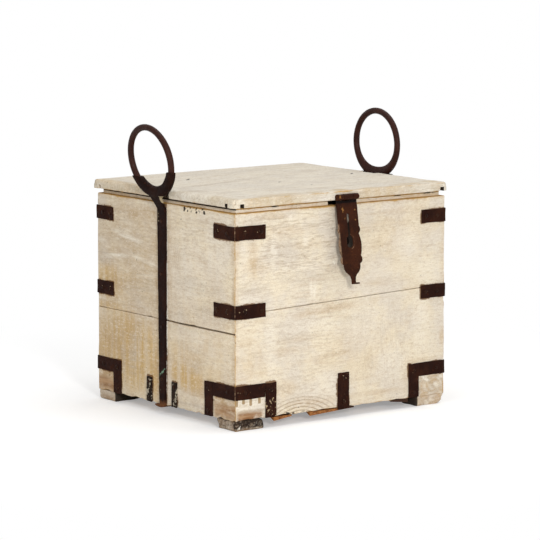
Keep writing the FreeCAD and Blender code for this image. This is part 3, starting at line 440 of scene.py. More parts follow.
END_STROKES = {
    "chalk": [
        (-110, 295, 46, 5, -9, 0.8), (-120, 303, 22, 3, 14, 0.6), (-140, 258, 46, 4, 7, 0.9),
        (-65, 259, 46, 4, -9, 0.9), (70, 270, 60, 70, 0, 0.45), (150, 300, 40, 50, 0, 0.5),
        (80, 140, 70, 18, 0, 0.45), (150, 120, 40, 30, 0, 0.4), (60, 215, 60, 8, 4, 0.5),
        (-50, 232, 34, 4, 5, 0.5), (-180, 278, 18, 6, -14, 0.6), (20, 40, 12, 18, 0, 0.5),
    ],
    "thin": [
        (-90, 338, 68, 14, 0, 0.7), (16, 260, 7, 94, 0, 0.6), (-75, 147, 9, 6, 0, 0.9),
        (-60, 318, 34, 10, 0, 0.6), (195, 290, 7, 22, 0, 1.0), (110, 60, 34, 14, 0, 0.6),
        (-150, 100, 44, 50, 0, 0.55), (35, 272, 12, 18, 0, 0.6), (197, 250, 5, 120, 0, 0.8),
        (197, 110, 5, 60, 0, 0.7), (-110, 250, 100, 100, 0, 0.45), (-20, 200, 9, 150, 0, 0.7),
        (-30, 285, 16, 60, 0, 0.5), (170, 38, 34, 14, 0, 1.0), (-175, 36, 30, 20, 0, 0.9),
        (110, 275, 18, 5, -30, 0.6),
    ],
    "age": [
        (-165, 210, 44, 30, 0, 0.80), (-165, 168, 40, 10, 0, 0.75), (-110, 98, 104, 70, 0, 0.86),
        (-30, 74, 30, 50, 0, 0.80), (62, 74, 54, 24, -8, 0.85), (150, 110, 50, 50, 0, 0.45),
        (80, 110, 120, 60, 0, 0.46), (-90, 225, 60, 14, 8, 0.45), (0, 190, 210, 190, 0, 0.24),
    ],
    "ash": [
        (-178, 256, 32, 16, 0, 0.85), (-60, 205, 50, 34, 0, 0.6), (-90, 285, 110, 34, 0, 0.5),
        (80, 230, 64, 13, 0, 0.5), (45, 165, 40, 22, -10, 0.5), (130, 190, 50, 16, 0, 0.45),
        (95, 95, 26, 12, 20, 0.4), (110, 330, 60, 20, 0, 0.35), (-95, 95, 14, 38, 0, 0.5),
        (-125, 90, 7, 38, 0, 0.55), (90, 27, 64, 7, 0, 0.6), (-150, 330, 50, 24, 0, 0.4),
        (70, 125, 40, 5, -8, 0.4),
    ],
}
DRIP_SPOTS, DRIP_WIDTH, DRIP_DROP = (3.0, 17.0, 32.0, 50.0), 4.0, 9.0
HOLLOW_TOP, HOLLOW_DEEP = 36.0, 3.6
SPOTS = ((-94.0, 28.0, 3.0), (-130.0, 234.0, 2.4), (-35.0, 166.0, 2.0), (121.0, 27.0, 2.4))
END_SPOTS = ((-95.0, 34.0, 2.4), (100.0, 30.0, 1.8), (30.0, 96.0, 2.2), (65.0, 60.0, 2.0))
# Lime smears round the hasp; the one at 9.5, 341 is painted light on the wall seen through the top of the
# slit.
HASP_SMEARS_AND_LIGHT = [
    (-19, 324, 3, 9, 0, 0.6), (-18, 266, 4, 8, 20, 0.6), (-21, 285, 3, 22, 0, 0.5),
    (41, 326, 3, 7, 0, 0.55), (9.5, 341, 5, 6, 0, 0.9),
]
# A dark stain where the hasp hangs, made darker as painted shade for the wall seen through the slit and
# keyhole.
HASP_STAIN_AND_SHADE = (16.0, 304.0, 10.5, 31.0, 0, 1.2)
FRONT_ARCHES = [(-86, 26, 60, 19, 0, 1.0)]
END_ARCHES = [(33, 272, 16, 20, 0, 0.8), (-85, 130, 30, 18, 0, 0.7)]
WALL_SEEDS = {"front": 11, "back": 23, "left": 37, "right": 51}
HOLLOW_STEP, SCRAPE_STEP, RIM_STEP = 1.3, 1.5, 1.0
HOLLOW_LINES = (np.arange(-HALF_LENGTH + 4, -HALF_LENGTH + 64, HOLLOW_STEP),
                np.arange(WALL_BOTTOM + 2, BAND_UNDERSIDE + 2, HOLLOW_STEP))
SCRAPE_LINES = (np.arange(48, 130, SCRAPE_STEP), np.arange(WALL_TOP - 14, WALL_TOP - 1, SCRAPE_STEP))
RIM_LINES = ((), np.arange(WALL_TOP, RIM_TOP - 1, RIM_STEP))


def marbled(along, z):
    """Grey, tan and white swirls, as where paint has been rubbed into end grain."""
    spread = np.column_stack([along, 0 * z, z])
    swirl = ripple(spread + 5 * ripple(spread, 16, 27)[:, None], (13, 30, 9), 20)
    veins = ripple(spread + 6 * ripple(spread, 12, 28)[:, None], (7, 30, 7), 21)
    return {
        "ash": (0.7 + 0.3 * swirl).clip(0, 1), "thin": (0.25 + 0.6 * swirl + 0.25 * veins).clip(0, 1),
        "chalk": (-0.5 - 0.9 * swirl - 0.4 * veins).clip(0, 1), "age": 0.9 * np.exp(-z / 3.5),
    }


def lay(marks, kind, amount):
    """Adds to one kind of mark, where amount is stronger than what is there."""
    marks[kind] = np.maximum(marks[kind], amount)


def lay_spots(marks, along, z, spots):
    for spot, level, size in spots:
        lay(marks, "grime_and_shade", 0.65 * np.exp(-(np.hypot(along - spot, z - level) / size) ** 2))


def front_marks(marks, points, z, low_edge, seed):
    """Marks the front: a hollow and drips by the near foot, a rough corner by the far one, and smears.
    Gives the depth of the dents, and how far each point lies in the rough corner."""
    along = points[:, 0]
    from_left, corner_gap = along + HALF_LENGTH, HALF_LENGTH - np.abs(along)
    hollow = hump(from_left, 7, 53, 8) * hump(z, WALL_BOTTOM - 9, HOLLOW_TOP - 9, 9)
    dents = HOLLOW_DEEP * hollow * (1 - ((z - 26) / 14) ** 2).clip(0, 1)
    lay(marks, "bare", 1.1 * hollow ** 1.5)
    lay(marks, "chalk", hump(from_left, 2, 58, 3) * hump(z, 36, 52, 3) * 0.9)
    for spot in DRIP_SPOTS:
        drop = DRIP_DROP + 2.5 * math.sin(spot)
        drip = hump(from_left, spot - DRIP_WIDTH / 2, spot + DRIP_WIDTH / 2, 1.6) * (z < BAND_UNDERSIDE)
        lay(marks, "drips", drip * hump(z, BAND_UNDERSIDE - drop, BAND_UNDERSIDE + 3, 3))
    # Painted shade: a dark line along the wall's bottom edge over the near foot, in the gap above it.
    lay(marks, "grime_and_shade", 0.9 * hump(from_left, 4, 62, 3) * np.exp(-(z - WALL_BOTTOM) / 1.6))
    rough = hump(along, HALF_LENGTH - 54, HALF_LENGTH + 5, 3) * hump(z, 0, BAND_UNDERSIDE - 3, 4)
    dented = rough * np.clip(corner_gap / 5, 0, 1)
    dents = dents + dented * (1.0 + 0.8 * ripple(points, (11, 30, 9), seed + 8)).clip(0, 2.6)
    for kind, amount in marbled(along, z).items():
        lay(marks, kind, amount * rough)
    marks["grime_and_shade"] = marks["grime_and_shade"] * (1 - rough)
    marks["wear"] = marks["wear"] * (1 - 0.7 * rough * low_edge)
    lay_spots(marks, along, z, SPOTS)
    # Stain and painted shade behind the hasp's slit.
    lay(marks, "grime_and_shade", strokes(along, z, [HASP_STAIN_AND_SHADE]))
    lay(marks, "lime", 0.5 * hump(along, -95, -74, 2) * hump(z, WALL_TOP - 4, WALL_TOP + 3, 2))
    # Painted highlight: a pale fleck at the keyhole's right, standing for the glint on the staple's loop.
    lay(marks, "lime", 0.42 * hump(along, 25, 28, 1) * hump(z, 288, 302, 3))
    lay(marks, "lime", strokes(along, z, HASP_SMEARS_AND_LIGHT))
    left_part = hump(along, -165, -25, 20) * hump(z, 262, 345, 15)
    marks["rows"] = 0.25 + 0.40 * left_part + 0.18 * hump(along, -230, -20, 40)
    marks["crazing"] = 0.34 * hump(along, 60, 140, 50) * hump(z, 60, 165, 40)
    marks["arches"] = 1.5 * strokes(along, z, FRONT_ARCHES)
    chipped = hump(along, -150, -70, 12) * hump(z, WALL_BOTTOM - 5, WALL_BOTTOM + 3, 2)
    lay(marks, "grime_and_shade", chipped * (0.42 + 0.3 * ripple(points, 6, seed + 14)))
    return dents, rough


def end_marks(marks, points, z, seam_here, side):
    """Marks an end: rubbing by the feet, and on the left a scrape and a pale line by the carry strap."""
    along, deep, _ = points.T
    seed, on_left = WALL_SEEDS[side], side == "left"
    marks["crazing"] = 0.5 * hump(along, -200, -40, 60) * hump(z, 40, 140, 20)
    marks["rows"] = np.where(z < seam_here, 0.25, 0.42)
    marks["arches"] = 0.8 * strokes(along, z, END_ARCHES)
    chips = hump(along, 58, 116, 10) * hump(z, WALL_TOP - 8, WALL_TOP, 3) * (deep < 3)
    lay(marks, "grime_and_shade", (0.42 + 0.2 * ripple(points, 4, seed + 12)) * chips * on_left)
    bar_taper = (BAR_HEAD_HALF - BAR_FOOT_HALF) * (z - WALL_BOTTOM) / (WALL_TOP - WALL_BOTTOM)
    past_bar = along + BAR_CENTRE - (BAR_FOOT_HALF + bar_taper)
    lay(marks, "lime", 0.62 * hump(past_bar, -2, 2.4, 1.2) * hump(z, 40, 340, 20) * on_left)
    outward = np.abs(along)
    by_foot = hump(outward, HALF_DEPTH - 56, HALF_DEPTH + 5, 4) * hump(z, 0, BAND_UNDERSIDE, 4)
    lay(marks, "thin", (0.85 + 0.3 * ripple(points, 12, seed + 15)) * by_foot)
    lay(marks, "bare", 0.9 * by_foot * hump(z, 24, 36, 10))
    lay(marks, "grime_and_shade", 0.36 * by_foot * np.exp(-(z - WALL_BOTTOM) / 6))
    # Painted shade: a dark line along the wall's bottom edge over each foot.
    foot_shade_line = hump(outward, HALF_DEPTH - 50, HALF_DEPTH, 3) * np.exp(-(z - WALL_BOTTOM) / 2.5)
    lay(marks, "grime_and_shade", 0.5 * foot_shade_line)
    lay(marks, "lime", 0.40 * hump(outward, HALF_DEPTH - 56, HALF_DEPTH, 3) * hump(z, 17, 22, 3))
    lay_spots(marks, along, z, END_SPOTS)


def finish_wall(side):
    long = side in ("front", "back")
    half, seam, laid = HALF_DEPTH, END_SEAM, END_STROKES
    if long:
        half, seam, laid = HALF_LENGTH, LONG_SEAM, LONG_STROKES
    seed = WALL_SEEDS[side]
    whole = [(-half, half)]
    rims = [(-half, -HASP_GAP), (HASP_GAP, half)] if side == "front" else whole
    hollow_lines = HOLLOW_LINES if side == "front" else ()
    scrape_lines = SCRAPE_LINES if side == "left" else ()
    lower = wall_board(WALL_BOTTOM, seam - SEAM_GAP, whole, 0, seam_rounding, seed, *hollow_lines)
    upper = wall_board(seam + SEAM_GAP, WALL_TOP, whole, 0, board_rounding, seed + 5, *scrape_lines)
    rim = wall_board(WALL_TOP - 1, RIM_TOP, rims, RIM_INSET, seam_rounding, seed + 7, *RIM_LINES)
    for level, (points, faces) in (("lower", lower), ("upper", join([upper, rim]))):
        along, deep, z = points.T
        none = np.zeros(len(z))
        on_rim = z > WALL_TOP + 0.5
        edge_weight = 0.45 if level == "lower" else 0.95
        wear = np.exp(-(half - np.abs(along)) / 1.7)
        wear = np.maximum(wear, edge_weight * np.exp(-np.abs(WALL_TOP - z) / 3.0))
        wear = np.maximum(wear, 0.7 * np.exp(-(z - WALL_BOTTOM) / 3))
        wear = np.where(on_rim, 0.22 + 0.6 * hump(RIM_TOP - z, -1, 3.2, 1.2), wear)
        seam_here = seam + SEAM_RISE[side] * along / half
        stretch = (z - WALL_BOTTOM) * (seam_here - WALL_BOTTOM) / (seam - WALL_BOTTOM) + WALL_BOTTOM
        squeeze = WALL_TOP - (WALL_TOP - z) * (WALL_TOP - seam_here) / (WALL_TOP - seam)
        z = stretch if level == "lower" else np.where(z < WALL_TOP, squeeze, z)
        low_edge = np.exp(-np.maximum(z - WALL_BOTTOM, 0) / 5) * (level == "lower")
        # Painted shade: a dark band along the top of the rim, under the lid's overhang, darkest on the left
        # end.
        shade_under_lid = hump(RIM_TOP - z, -1, 4.0, 0.8) * on_rim
        shade_under_lid_strength = 0.88 if side == "left" else 0.34
        shade_under_lid_strength = shade_under_lid_strength + 0.12 * ripple(points, 25, seed + 4)
        marks = {kind: strokes(along, z, laid[kind]) for kind in laid}
        marks.update(lime=none, drips=none, crazing=none, arches=none, rows=none + 0.4, wear=wear)
        # Darker along the lower board's bottom edge; on the rim, the painted shade under the lid.
        marks["grime_and_shade"] = np.maximum(0.40 * low_edge, shade_under_lid * shade_under_lid_strength)
        marks["bare"] = 1.0 * (deep > WALL_THICK - 3)
        # Painted light: the rim's lime and yellowing are laid on strongly to lift and warm the shade that
        # the lid throws on it.
        lay(marks, "age", (0.22 + 0.16 * ripple(points, 30, seed + 13)) * on_rim)
        lay(marks, "chalk", 0.8 * on_rim * (RIM_TOP - z > 3))
        lay(marks, "age", 0.6 * np.exp(-np.maximum(WALL_TOP - z, 0) / 2.0) * (level == "upper"))
        dip = (0.3 + 0.2 * ripple(points, (120, 60, 40), seed + 2)).clip(0, 0.8)
        ragged = low_edge * (0.8 + 0.9 * ripple(points, 14, seed + 3)).clip(0, 2.6)
        if side == "front":
            dents, rough = front_marks(marks, points, z, low_edge, seed)
            dip = dip + dents
            ragged = ragged * (1 - rough)
        if not long:
            end_marks(marks, points, z, seam_here, side)
        if level == "lower":
            z = z + ragged
        if side == "left" and level == "lower":
            z = z - np.exp(-np.maximum(seam - z, 0) / 6) * np.clip((along + 20) / 60, 0, 1) * 2.0
        deep = deep + dip * np.clip(1 - deep / 6, 0, 1)
        along = along * (half - deep) / half
        placed = onto_wall(side, np.column_stack([along, deep, z]))
        marks["stain"] = iron_stain(placed)
        add_piece(f"limewashed_{side}_{level}_board", placed, faces, long_wash if long else end_wash,
                  "box", [f"{side}_{level}_board"], marks)


WARM_LIME, COOL_LIME = paint(230, 217, 192), paint(220, 209, 192)
THIN_WOOD, THIN_END_WOOD = paint(201, 177, 144), paint(188, 160, 122)
END_GRAIN_TURN = (math.radians(8), 0, 0)
long_wash = whitewash("long_wall_limewash", "X", WARM_LIME, COOL_LIME, THIN_WOOD, thin=0.35,
                      arch=((-90, 0, 4), (0.5, 0, 1)))
end_wash = whitewash("end_wall_limewash", "Y", WARM_LIME, COOL_LIME, THIN_END_WOOD, thin=0.45,
                     turn=END_GRAIN_TURN, arch=((0, -60, 272), (0, 1, 0.7)))
for wall_side in ("front", "back", "left", "right"):
    finish_wall(wall_side)

# Floor and runners: two boards laid between the walls, and three split runners nailed under them from
# front to back. Bare softwood, left as it was sawn, orange-brown where it is cut.
RUNNER_SHADE = {"left_runner": 0.0, "middle_runner": 1.0, "right_runner": 1.0}
RUNNER_EDGES = {"left_runner": (7.0, 2.5), "middle_runner": (7.0, 2.5), "right_runner": (2.5, 7.0)}
FIBRE_BROWN, BLOTCH_BROWN, SOOT_AND_SHADE_BROWN = paint(92, 56, 28), paint(70, 44, 26), paint(44, 24, 14)


def bare_wood(name, grain, light, dark):
    finish = Finish(bpy.data.materials.new(name))
    rings = finish.cloud(drawn_out(grain, 5, 140), detail=5.0, rough=0.6)
    fibre = finish.cloud(drawn_out(grain, 20, 700), detail=2.0)
    blotch = finish.cloud((25, 25, 25), detail=4.0)
    finish.colour = finish.blend(light, dark, finish.between(rings, 0.42, 0.62))
    finish.coat(FIBRE_BROWN, finish.between(fibre, 0.55, 0.7, 0.0, 0.5))
    finish.coat(BLOTCH_BROWN, finish.between(blotch, 0.55, 0.75, 0.0, 0.6))
    # Painted shade where the mesh marks it, on the runners under the box.
    finish.coat(SOOT_AND_SHADE_BROWN, finish.caught("soot_and_shade", blotch, 0.5, 0.5, 1.0, 0.95))
    height = finish.combine("ADD", rings, fibre)
    return finish.done(roughness=0.8, shine=0.25, height=height, depth=0.0006, strength=0.7)


def sawn_board(low, high, step, edge, seed):
    """A rough board: edges eased unevenly and faces a little out of true."""
    points, faces = block(*[grid_lines(low[a], high[a], step, edge) for a in range(3)])
    radius = (edge * (0.7 + 0.25 * ripple(points, 20, seed)))[:, None].clip(0.25 * edge, edge)
    return round_edges(points, np.array(low), np.array(high), radius), faces


floor_finish = bare_wood("bare_floor_wood", "X", paint(196, 160, 112), paint(168, 126, 80))
for name in ("front_floor_board", "back_floor_board"):
    points, faces = sawn_board(*node_box(name), step=12.0, edge=1.2, seed=61 + len(name))
    add_piece(f"sawn_{name}", points, faces, floor_finish, "box", [name])

runner_finish = bare_wood("bare_runner_wood", "Y", paint(160, 104, 54), paint(118, 70, 34))
for name, (left_thick, right_thick) in RUNNER_EDGES.items():
    low, high = node_box(name)
    points, faces = sawn_board(low, high, step=4.0, edge=1.0, seed=71 + len(name))
    share = (points[:, 0] - low[0]) / (high[0] - low[0])
    behind = np.clip((points[:, 1] - low[1] - 2) / 8, 0, 1)
    thick = (left_thick + (right_thick - left_thick) * share) * (1 - 0.74 * behind)
    points[:, 2] = high[2] - (high[2] - points[:, 2]) * thick / (high[2] - low[2])
    # Painted shade: each runner is darkened where it meets the floor boards, and the right one all over;
    # the middle one is also darker towards its right end.
    shade_under_floor = 0.5 * np.exp(-(high[2] - points[:, 2]) / 1.2)
    soot_and_shade = np.maximum(shade_under_floor, RUNNER_SHADE[name] * hump(share, 0.72, 2, 0.2))
    soot_and_shade = np.ones(len(share)) if name == "right_runner" else soot_and_shade
    add_piece(f"split_{name}", points, faces, runner_finish, "box", [name], {"soot_and_shade": soot_and_shade})

# Feet: a rough block under each corner, rounded away from the corner by years of being dragged about.
# Offcuts of the wall's wood, painted with it once and rubbed bare along the floor.
FOOT_INNER_ROUND = 8.0
FLUSH_FEET = {"front_right_foot": 1.0, "back_left_foot": 0.7}
LIFTED_FEET = {"front_right_foot": 6.0}
FLARED_FEET = {"front_left_foot": 6.0}
DIRTY_FEET = {"front_left_foot": 0.66}


def worn_foot(name, finish, seed):
    low, high = node_box(name)
    xs = grid_lines(low[0], high[0], 2.0, 4.0)
    ys = grid_lines(low[1], high[1], 2.0, 4.0)
    zs = grid_lines(low[2], high[2], 1.6, 2.5)
    points, faces = block(xs, ys, zs)
    radius = (3.2 + 0.9 * ripple(points, 18, seed)).clip(1.5, 5)
    height = (points[:, 2] - low[2]) / (high[2] - low[2])
    middle, size = (low + high)[:2] / 2, (high - low)[:2]
    inward = -np.sign(middle)
    flush = FLUSH_FEET.get(name, 0.0)
    radius = np.where(height > 0.6, radius * (1 - 0.9 * flush), radius)
    points = round_edges(points, low, high, radius[:, None])
    shrink = (0.6 + 0.6 * ripple(points, (22, 22, 9), seed + 1)).clip(0, 2) * (1 - 0.7 * flush)
    off = points[:, :2] - middle
    points[:, :2] -= off * (shrink / 30)[:, None]
    corner = np.minimum((points[:, :2] - middle) * inward / size * 2, 1)
    both = np.clip(corner[:, 0] + corner[:, 1] - 1.35, 0, None)
    points[:, :2] -= inward * (both * FOOT_INNER_ROUND * 0.9)[:, None]
    lifted = LIFTED_FEET.get(name, 0.0) * (1 - height)
    outer_end = np.clip(-corner[:, 0] * 2.2 - 1.2, 0, 1)
    points[:, 2] += lifted * outer_end ** 2
    points[:, 0] += inward[0] * lifted / 3 * outer_end
    flared = FLARED_FEET.get(name, 0.0) * height ** 2 * np.clip(corner[:, 1] * 3 - 2, 0, 1)
    points[:, 1] += inward[1] * flared
    near_floor, near_wall = np.exp(-height * 5), np.exp(-(1 - height) * 5)
    inside = np.clip(((off * inward) / (size / 2)).max(axis=1) * 8 - 6.6, 0, 1)
    on_front = np.where(off[:, 1] * inward[1] < -20, 1.0, 0.7)
    dirt = DIRTY_FEET.get(name, 0.1) * on_front * hump(height, 0.35, 1.2, 0.5)
    none = np.zeros(len(points))
    # Painted shade: the foot's inner faces under the box, and its top where it meets the wall, are darkened
    # and given less lime.
    marks = {
        "wear": near_floor * 0.5, "stain": 0.3 * near_floor, "bare": 0.25 + none, "rows": 0.4 + none,
        "grime_and_shade": np.maximum(np.maximum(0.85 * inside, 0.42 * near_wall * (1 - flush)), dirt),
        "ash": 0.6 + 0.3 * ripple(points, 14, seed + 2),
        "thin": 0.5 * (1 - flush) + none,
        "chalk": none, "age": none,
        "lime": (0.28 + 0.12 * ripple(points, 7, seed + 3)) * (1 - flush) - 0.4 * inside,
    }
    for kind, amount in marbled(points[:, 0], points[:, 2]).items():
        marks[kind] = marks[kind] * (1 - flush) + amount * flush
    add_piece(f"worn_{name}", points, faces, finish, "box", [name], marks)


near_foot_wash = whitewash("near_foot_limewash", "X", paint(132, 117, 92), paint(104, 92, 74),
                           paint(86, 64, 42), thin=0.7)
foot_wash = whitewash("foot_limewash", "X", paint(214, 200, 174), paint(196, 181, 158),
                      paint(150, 118, 84), thin=0.6)
FOOT_FINISH = {"front_left": near_foot_wash, "front_right": long_wash}
for number, corner in enumerate(CORNERS):
    worn_foot(f"{corner}_foot", FOOT_FINISH.get(corner, foot_wash), seed=81 + 3 * number)

# Corner straps and foot bands: flat bar iron bent hot round each corner and nailed on. Hand-forged, so
# the edges wander a little, and the old surface has gone a dark, dull brown.
STRAP_NODES = [f"{corner}_{kind}" for kind in CORNER_IRONS[:3] for corner in CORNERS]
STRAP_THICK, BEND_RADIUS, STRAP_STEP = 2.0, 1.4, 1.6
NAIL_MIDDLES = [(low + high) / 2 for low, high in solids_of("box_nails")]
PIT_BLACK, RUBBED_AND_LIT_EDGE = paint(14, 8, 6), paint(170, 140, 112)
VERDIGRIS, FRESH_RUST = paint(122, 150, 126), paint(112, 72, 44)


def old_iron(name, dark, brown, rust, fleck, gloss=0.66, shine=0.06):
    """Forged iron under old wax and rust: dark mottling, browner patches, pits and a few pale flecks."""
    finish = Finish(bpy.data.materials.new(name))
    coat, between, caught, scaled = finish.coat, finish.between, finish.caught, finish.scaled
    mottle = finish.cloud((38, 38, 38), detail=5.0, rough=0.6)
    scale = finish.cloud((210, 210, 210), detail=4.0, rough=0.62, shift=(5, 2, 7))
    pits = finish.cloud((620, 620, 620), detail=2.0, shift=(2, 9, 4))
    spots = finish.cloud((260, 260, 260), detail=2.0, rough=0.5, shift=(8, 3, 1))
    finish.colour = finish.blend(dark, brown, between(mottle, 0.40, 0.66))
    coat(rust, between(scale, 0.56, 0.74, 0.0, 0.55))
    coat(PIT_BLACK, between(pits, 0.56, 0.7, 0.0, 0.7))
    # Rubbed edges, and a painted highlight along the hasp's lit left edge.
    coat(RUBBED_AND_LIT_EDGE, caught("rub_and_sheen", scale, 0.9, 0.95, 1.35, 0.6))
    coat(fleck, caught("lime", spots, 1.3, 0.98, 1.12, 0.85))
    coat(VERDIGRIS, caught("verdigris", spots, 1.2, 1.05, 1.2, 0.9))
    coat(FRESH_RUST, caught("rusty", scale, 0.8, 0.7, 1.2, 0.85))
    # Painted shade under the hasp's roll.
    coat(PIT_BLACK, caught("soot_and_shade", scale, 0.4, 0.6, 0.9, 0.95))
    roughness = between(scale, 0.3, 0.7, gloss - 0.12, gloss + 0.16)
    height = finish.combine("ADD", scaled(scale, 0.7), scaled(pits, -0.5))
    return finish.done(roughness, shine, height, depth=0.0004, strength=0.9)


def nail_lime_and_glint(points):
    """A pale ring round each nail's head: limewash caught there, and a painted glint on the head's edge."""
    ring = np.zeros(len(points))
    for middle in NAIL_MIDDLES:
        away = np.abs(points - middle)
        near = away.max(axis=1) < 14
        across = np.sqrt(np.maximum((away[near] ** 2).sum(axis=1) - away[near].max(axis=1) ** 2, 0))
        fresh = 0.30 if middle[0] < 100 else 0.12
        ring[near] = np.maximum(ring[near], fresh * np.exp(-((across - 3.6) / 1.2) ** 2))
    return ring


def corner_strap(name, seed):
    """A bar made flat, with its edges and ends a little uneven, and then bent round its corner."""
    low, high = node_box(name)
    x_side, y_side = np.sign((low + high)[:2])
    arm_x, arm_y = (high - low)[:2] - STRAP_THICK
    us = grid_lines(-arm_y, arm_x, STRAP_STEP, 0.7)
    bend_half = BEND_RADIUS * math.pi / 4
    us = np.unique(np.concatenate([us[np.abs(us) > 3.2], np.linspace(-3, 3, 13) * bend_half / 1.5]))
    ws = np.array([0.0, 0.35, 1.0, 1.65, 2.0]) * STRAP_THICK / 2
    vs = grid_lines(low[2], high[2], STRAP_STEP, 0.7)
    flat, faces = block(us, ws, vs)
    flat_low, flat_high = np.array([-arm_y, 0, low[2]]), np.array([arm_x, STRAP_THICK, high[2]])
    flat = round_edges(flat, flat_low, flat_high, np.full((len(flat), 1), 0.6))
    u, w, v = flat.T
    middle_z = (low[2] + high[2]) / 2
    edge_share = (v - middle_z) / (high[2] - middle_z)
    edge_line = np.column_stack([u, 0 * u, np.sign(edge_share) * 40])
    v = v + edge_share * (0.2 * ripple(edge_line, 30, seed) - 0.15)
    end_share = np.clip(np.abs(u) / np.where(u > 0, arm_x, arm_y), 0, 1) ** 6
    end_line = np.column_stack([np.sign(u) * 60, 0 * u, v])
    u = u - np.sign(u) * end_share * (0.25 + 0.25 * ripple(end_line, 14, seed + 1))
    outer = w / STRAP_THICK
    w = w + outer * (0.18 * ripple(np.column_stack([u, 0 * u, v]), 13, seed + 2) - 0.15)
    turn = np.clip(u / bend_half, -1, 1) * math.pi / 4 + math.pi / 4
    past = np.maximum(np.abs(u) - bend_half, 0)
    x = BEND_RADIUS - (BEND_RADIUS + w) * np.cos(turn) + np.where(u > 0, past, 0)
    y = BEND_RADIUS - (BEND_RADIUS + w) * np.sin(turn) + np.where(u < 0, past, 0)
    points = np.column_stack([x_side * (HALF_LENGTH - x), y_side * (HALF_DEPTH - y), v])
    if x_side * y_side < 0:
        faces = faces[:, ::-1]
    marks = {"rub_and_sheen": 0.75 * np.exp(-np.abs(flat[:, 0]) / 1.1), "lime": nail_lime_and_glint(points)}
    add_piece(f"forged_{name}", points, faces, strap_iron, "box", [name], marks)


strap_iron = old_iron("strap_iron", paint(36, 16, 10), paint(50, 25, 15), paint(72, 38, 20),
                      paint(190, 166, 130))
for number, strap_name in enumerate(STRAP_NODES):
    corner_strap(strap_name, seed=101 + 4 * number)

# Foot legs and cleats: short lengths of the same bar, hammered and nailed upright. The legs end the foot
# bands at every corner, and the cleats hold the wall to the floor at the middle of each side.
CLEAT_NODES = ["end_cleats", "front_cleat", "back_cleat"]
LEG_NODES = [f"{corner}_foot_legs" for corner in CORNERS]


def hammered_bar(low, high, seed):
    """A short flat bar with soft edges and an uneven outline."""
    points, faces = block(*[grid_lines(low[a], high[a], 1.6, 0.7) for a in range(3)])
    points = round_edges(points, low, high, np.full((len(points), 1), 0.65))
    middle = (low + high) / 2
    thin = int(np.argmin(high - low))
    wide = 1 - thin
    share = (points - middle) / ((high - low) / 2)
    side_line = np.column_stack([share[:, wide] * 30, 0 * share[:, 0], points[:, 2]])
    points[:, wide] -= share[:, wide] * (0.2 + 0.2 * ripple(side_line, 24, seed)).clip(-0.2, 0.8)
    at_ends = share[:, 2] * np.abs(share[:, 2]) ** 5
    points[:, 2] -= at_ends * (0.4 + 0.4 * ripple(points, 9, seed + 1)).clip(0, 1.4)
    outward = np.sign(middle[thin])
    outer = np.clip(share[:, thin] * outward, 0, 1)
    points[:, thin] += outward * outer * (0.15 * ripple(points, 12, seed + 2) - 0.12)
    return points, faces


cleat_iron = old_iron("cleat_iron", paint(28, 20, 15), paint(46, 34, 26), paint(80, 62, 46),
                      paint(186, 176, 156))
for number, bar_name in enumerate(LEG_NODES + CLEAT_NODES):
    bar_seed = 171 + 10 * number
    points, faces = join([hammered_bar(low, high, bar_seed + 3 * k)
                          for k, (low, high) in enumerate(solids_of(bar_name))])
    at_end = bar_name == "end_cleats"
    lime = 0.24 + 0.14 * ripple(points, 10, 199) if at_end else nail_lime_and_glint(points)
    flecked = (bar_name == "front_left_foot_legs") * (points[:, 0] > -200)
    lime = np.maximum(lime, 0.23 * hump(points[:, 2], 17, 48, 10) * flecked)
    add_piece(f"forged_{bar_name}", points, faces, cleat_iron if at_end else strap_iron,
              "box", [bar_name], {"lime": lime})

# Carry straps: one heavy bar down the middle of each end, drawn out thinner towards its foot, which is
# turned under the wall. The head is opened into a cradle and hammered shut round the ring.
TOE_MIDDLE, TOE_HALF = 11.0, 15.0
NECK_HALF, NECK_NICK = 18.0, 7.0
LOW_CRADLE = 382.0


def forged(node, body, finish, cell, relax, dents, seed, rework=None):
    """A CAD iron as the smith left it: its edges softened and its faces hammered a little uneven."""
    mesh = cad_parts[node].data.copy()
    whole = welded(mesh)
    whole.to_mesh(mesh)
    whole.free()
    blank = bpy.data.objects.new(f"{node}_blank", mesh)
    bpy.context.scene.collection.objects.link(blank)
    skin = blank.modifiers.new("skin", "REMESH")
    skin.mode = "VOXEL"
    skin.voxel_size = cell * MM
    soft = blank.modifiers.new("soft", "SMOOTH")
    soft.factor = 0.5
    soft.iterations = relax
    depsgraph = bpy.context.evaluated_depsgraph_get()
    shaped = bpy.data.meshes.new_from_object(blank.evaluated_get(depsgraph))
    bpy.data.objects.remove(blank)
    shaped.name = f"forged_{node}"
    points, normals = np.zeros((2, len(shaped.vertices) * 3))
    shaped.vertices.foreach_get("co", points)
    shaped.vertex_normals.foreach_get("vector", normals)
    points = points.reshape(-1, 3) / MM
    hammered = dents * ripple(points, 12, seed) + 0.4 * dents * ripple(points, 5, seed + 1)
    points += normals.reshape(-1, 3) * hammered[:, None]
    points, marks = rework(points) if rework else (points, {})
    shaped.vertices.foreach_set("co", (points * MM).ravel())
    shaped.materials.clear()
    dress(shaped, finish, marks)
    set_piece(f"forged_{node}", shaped, body, [node])


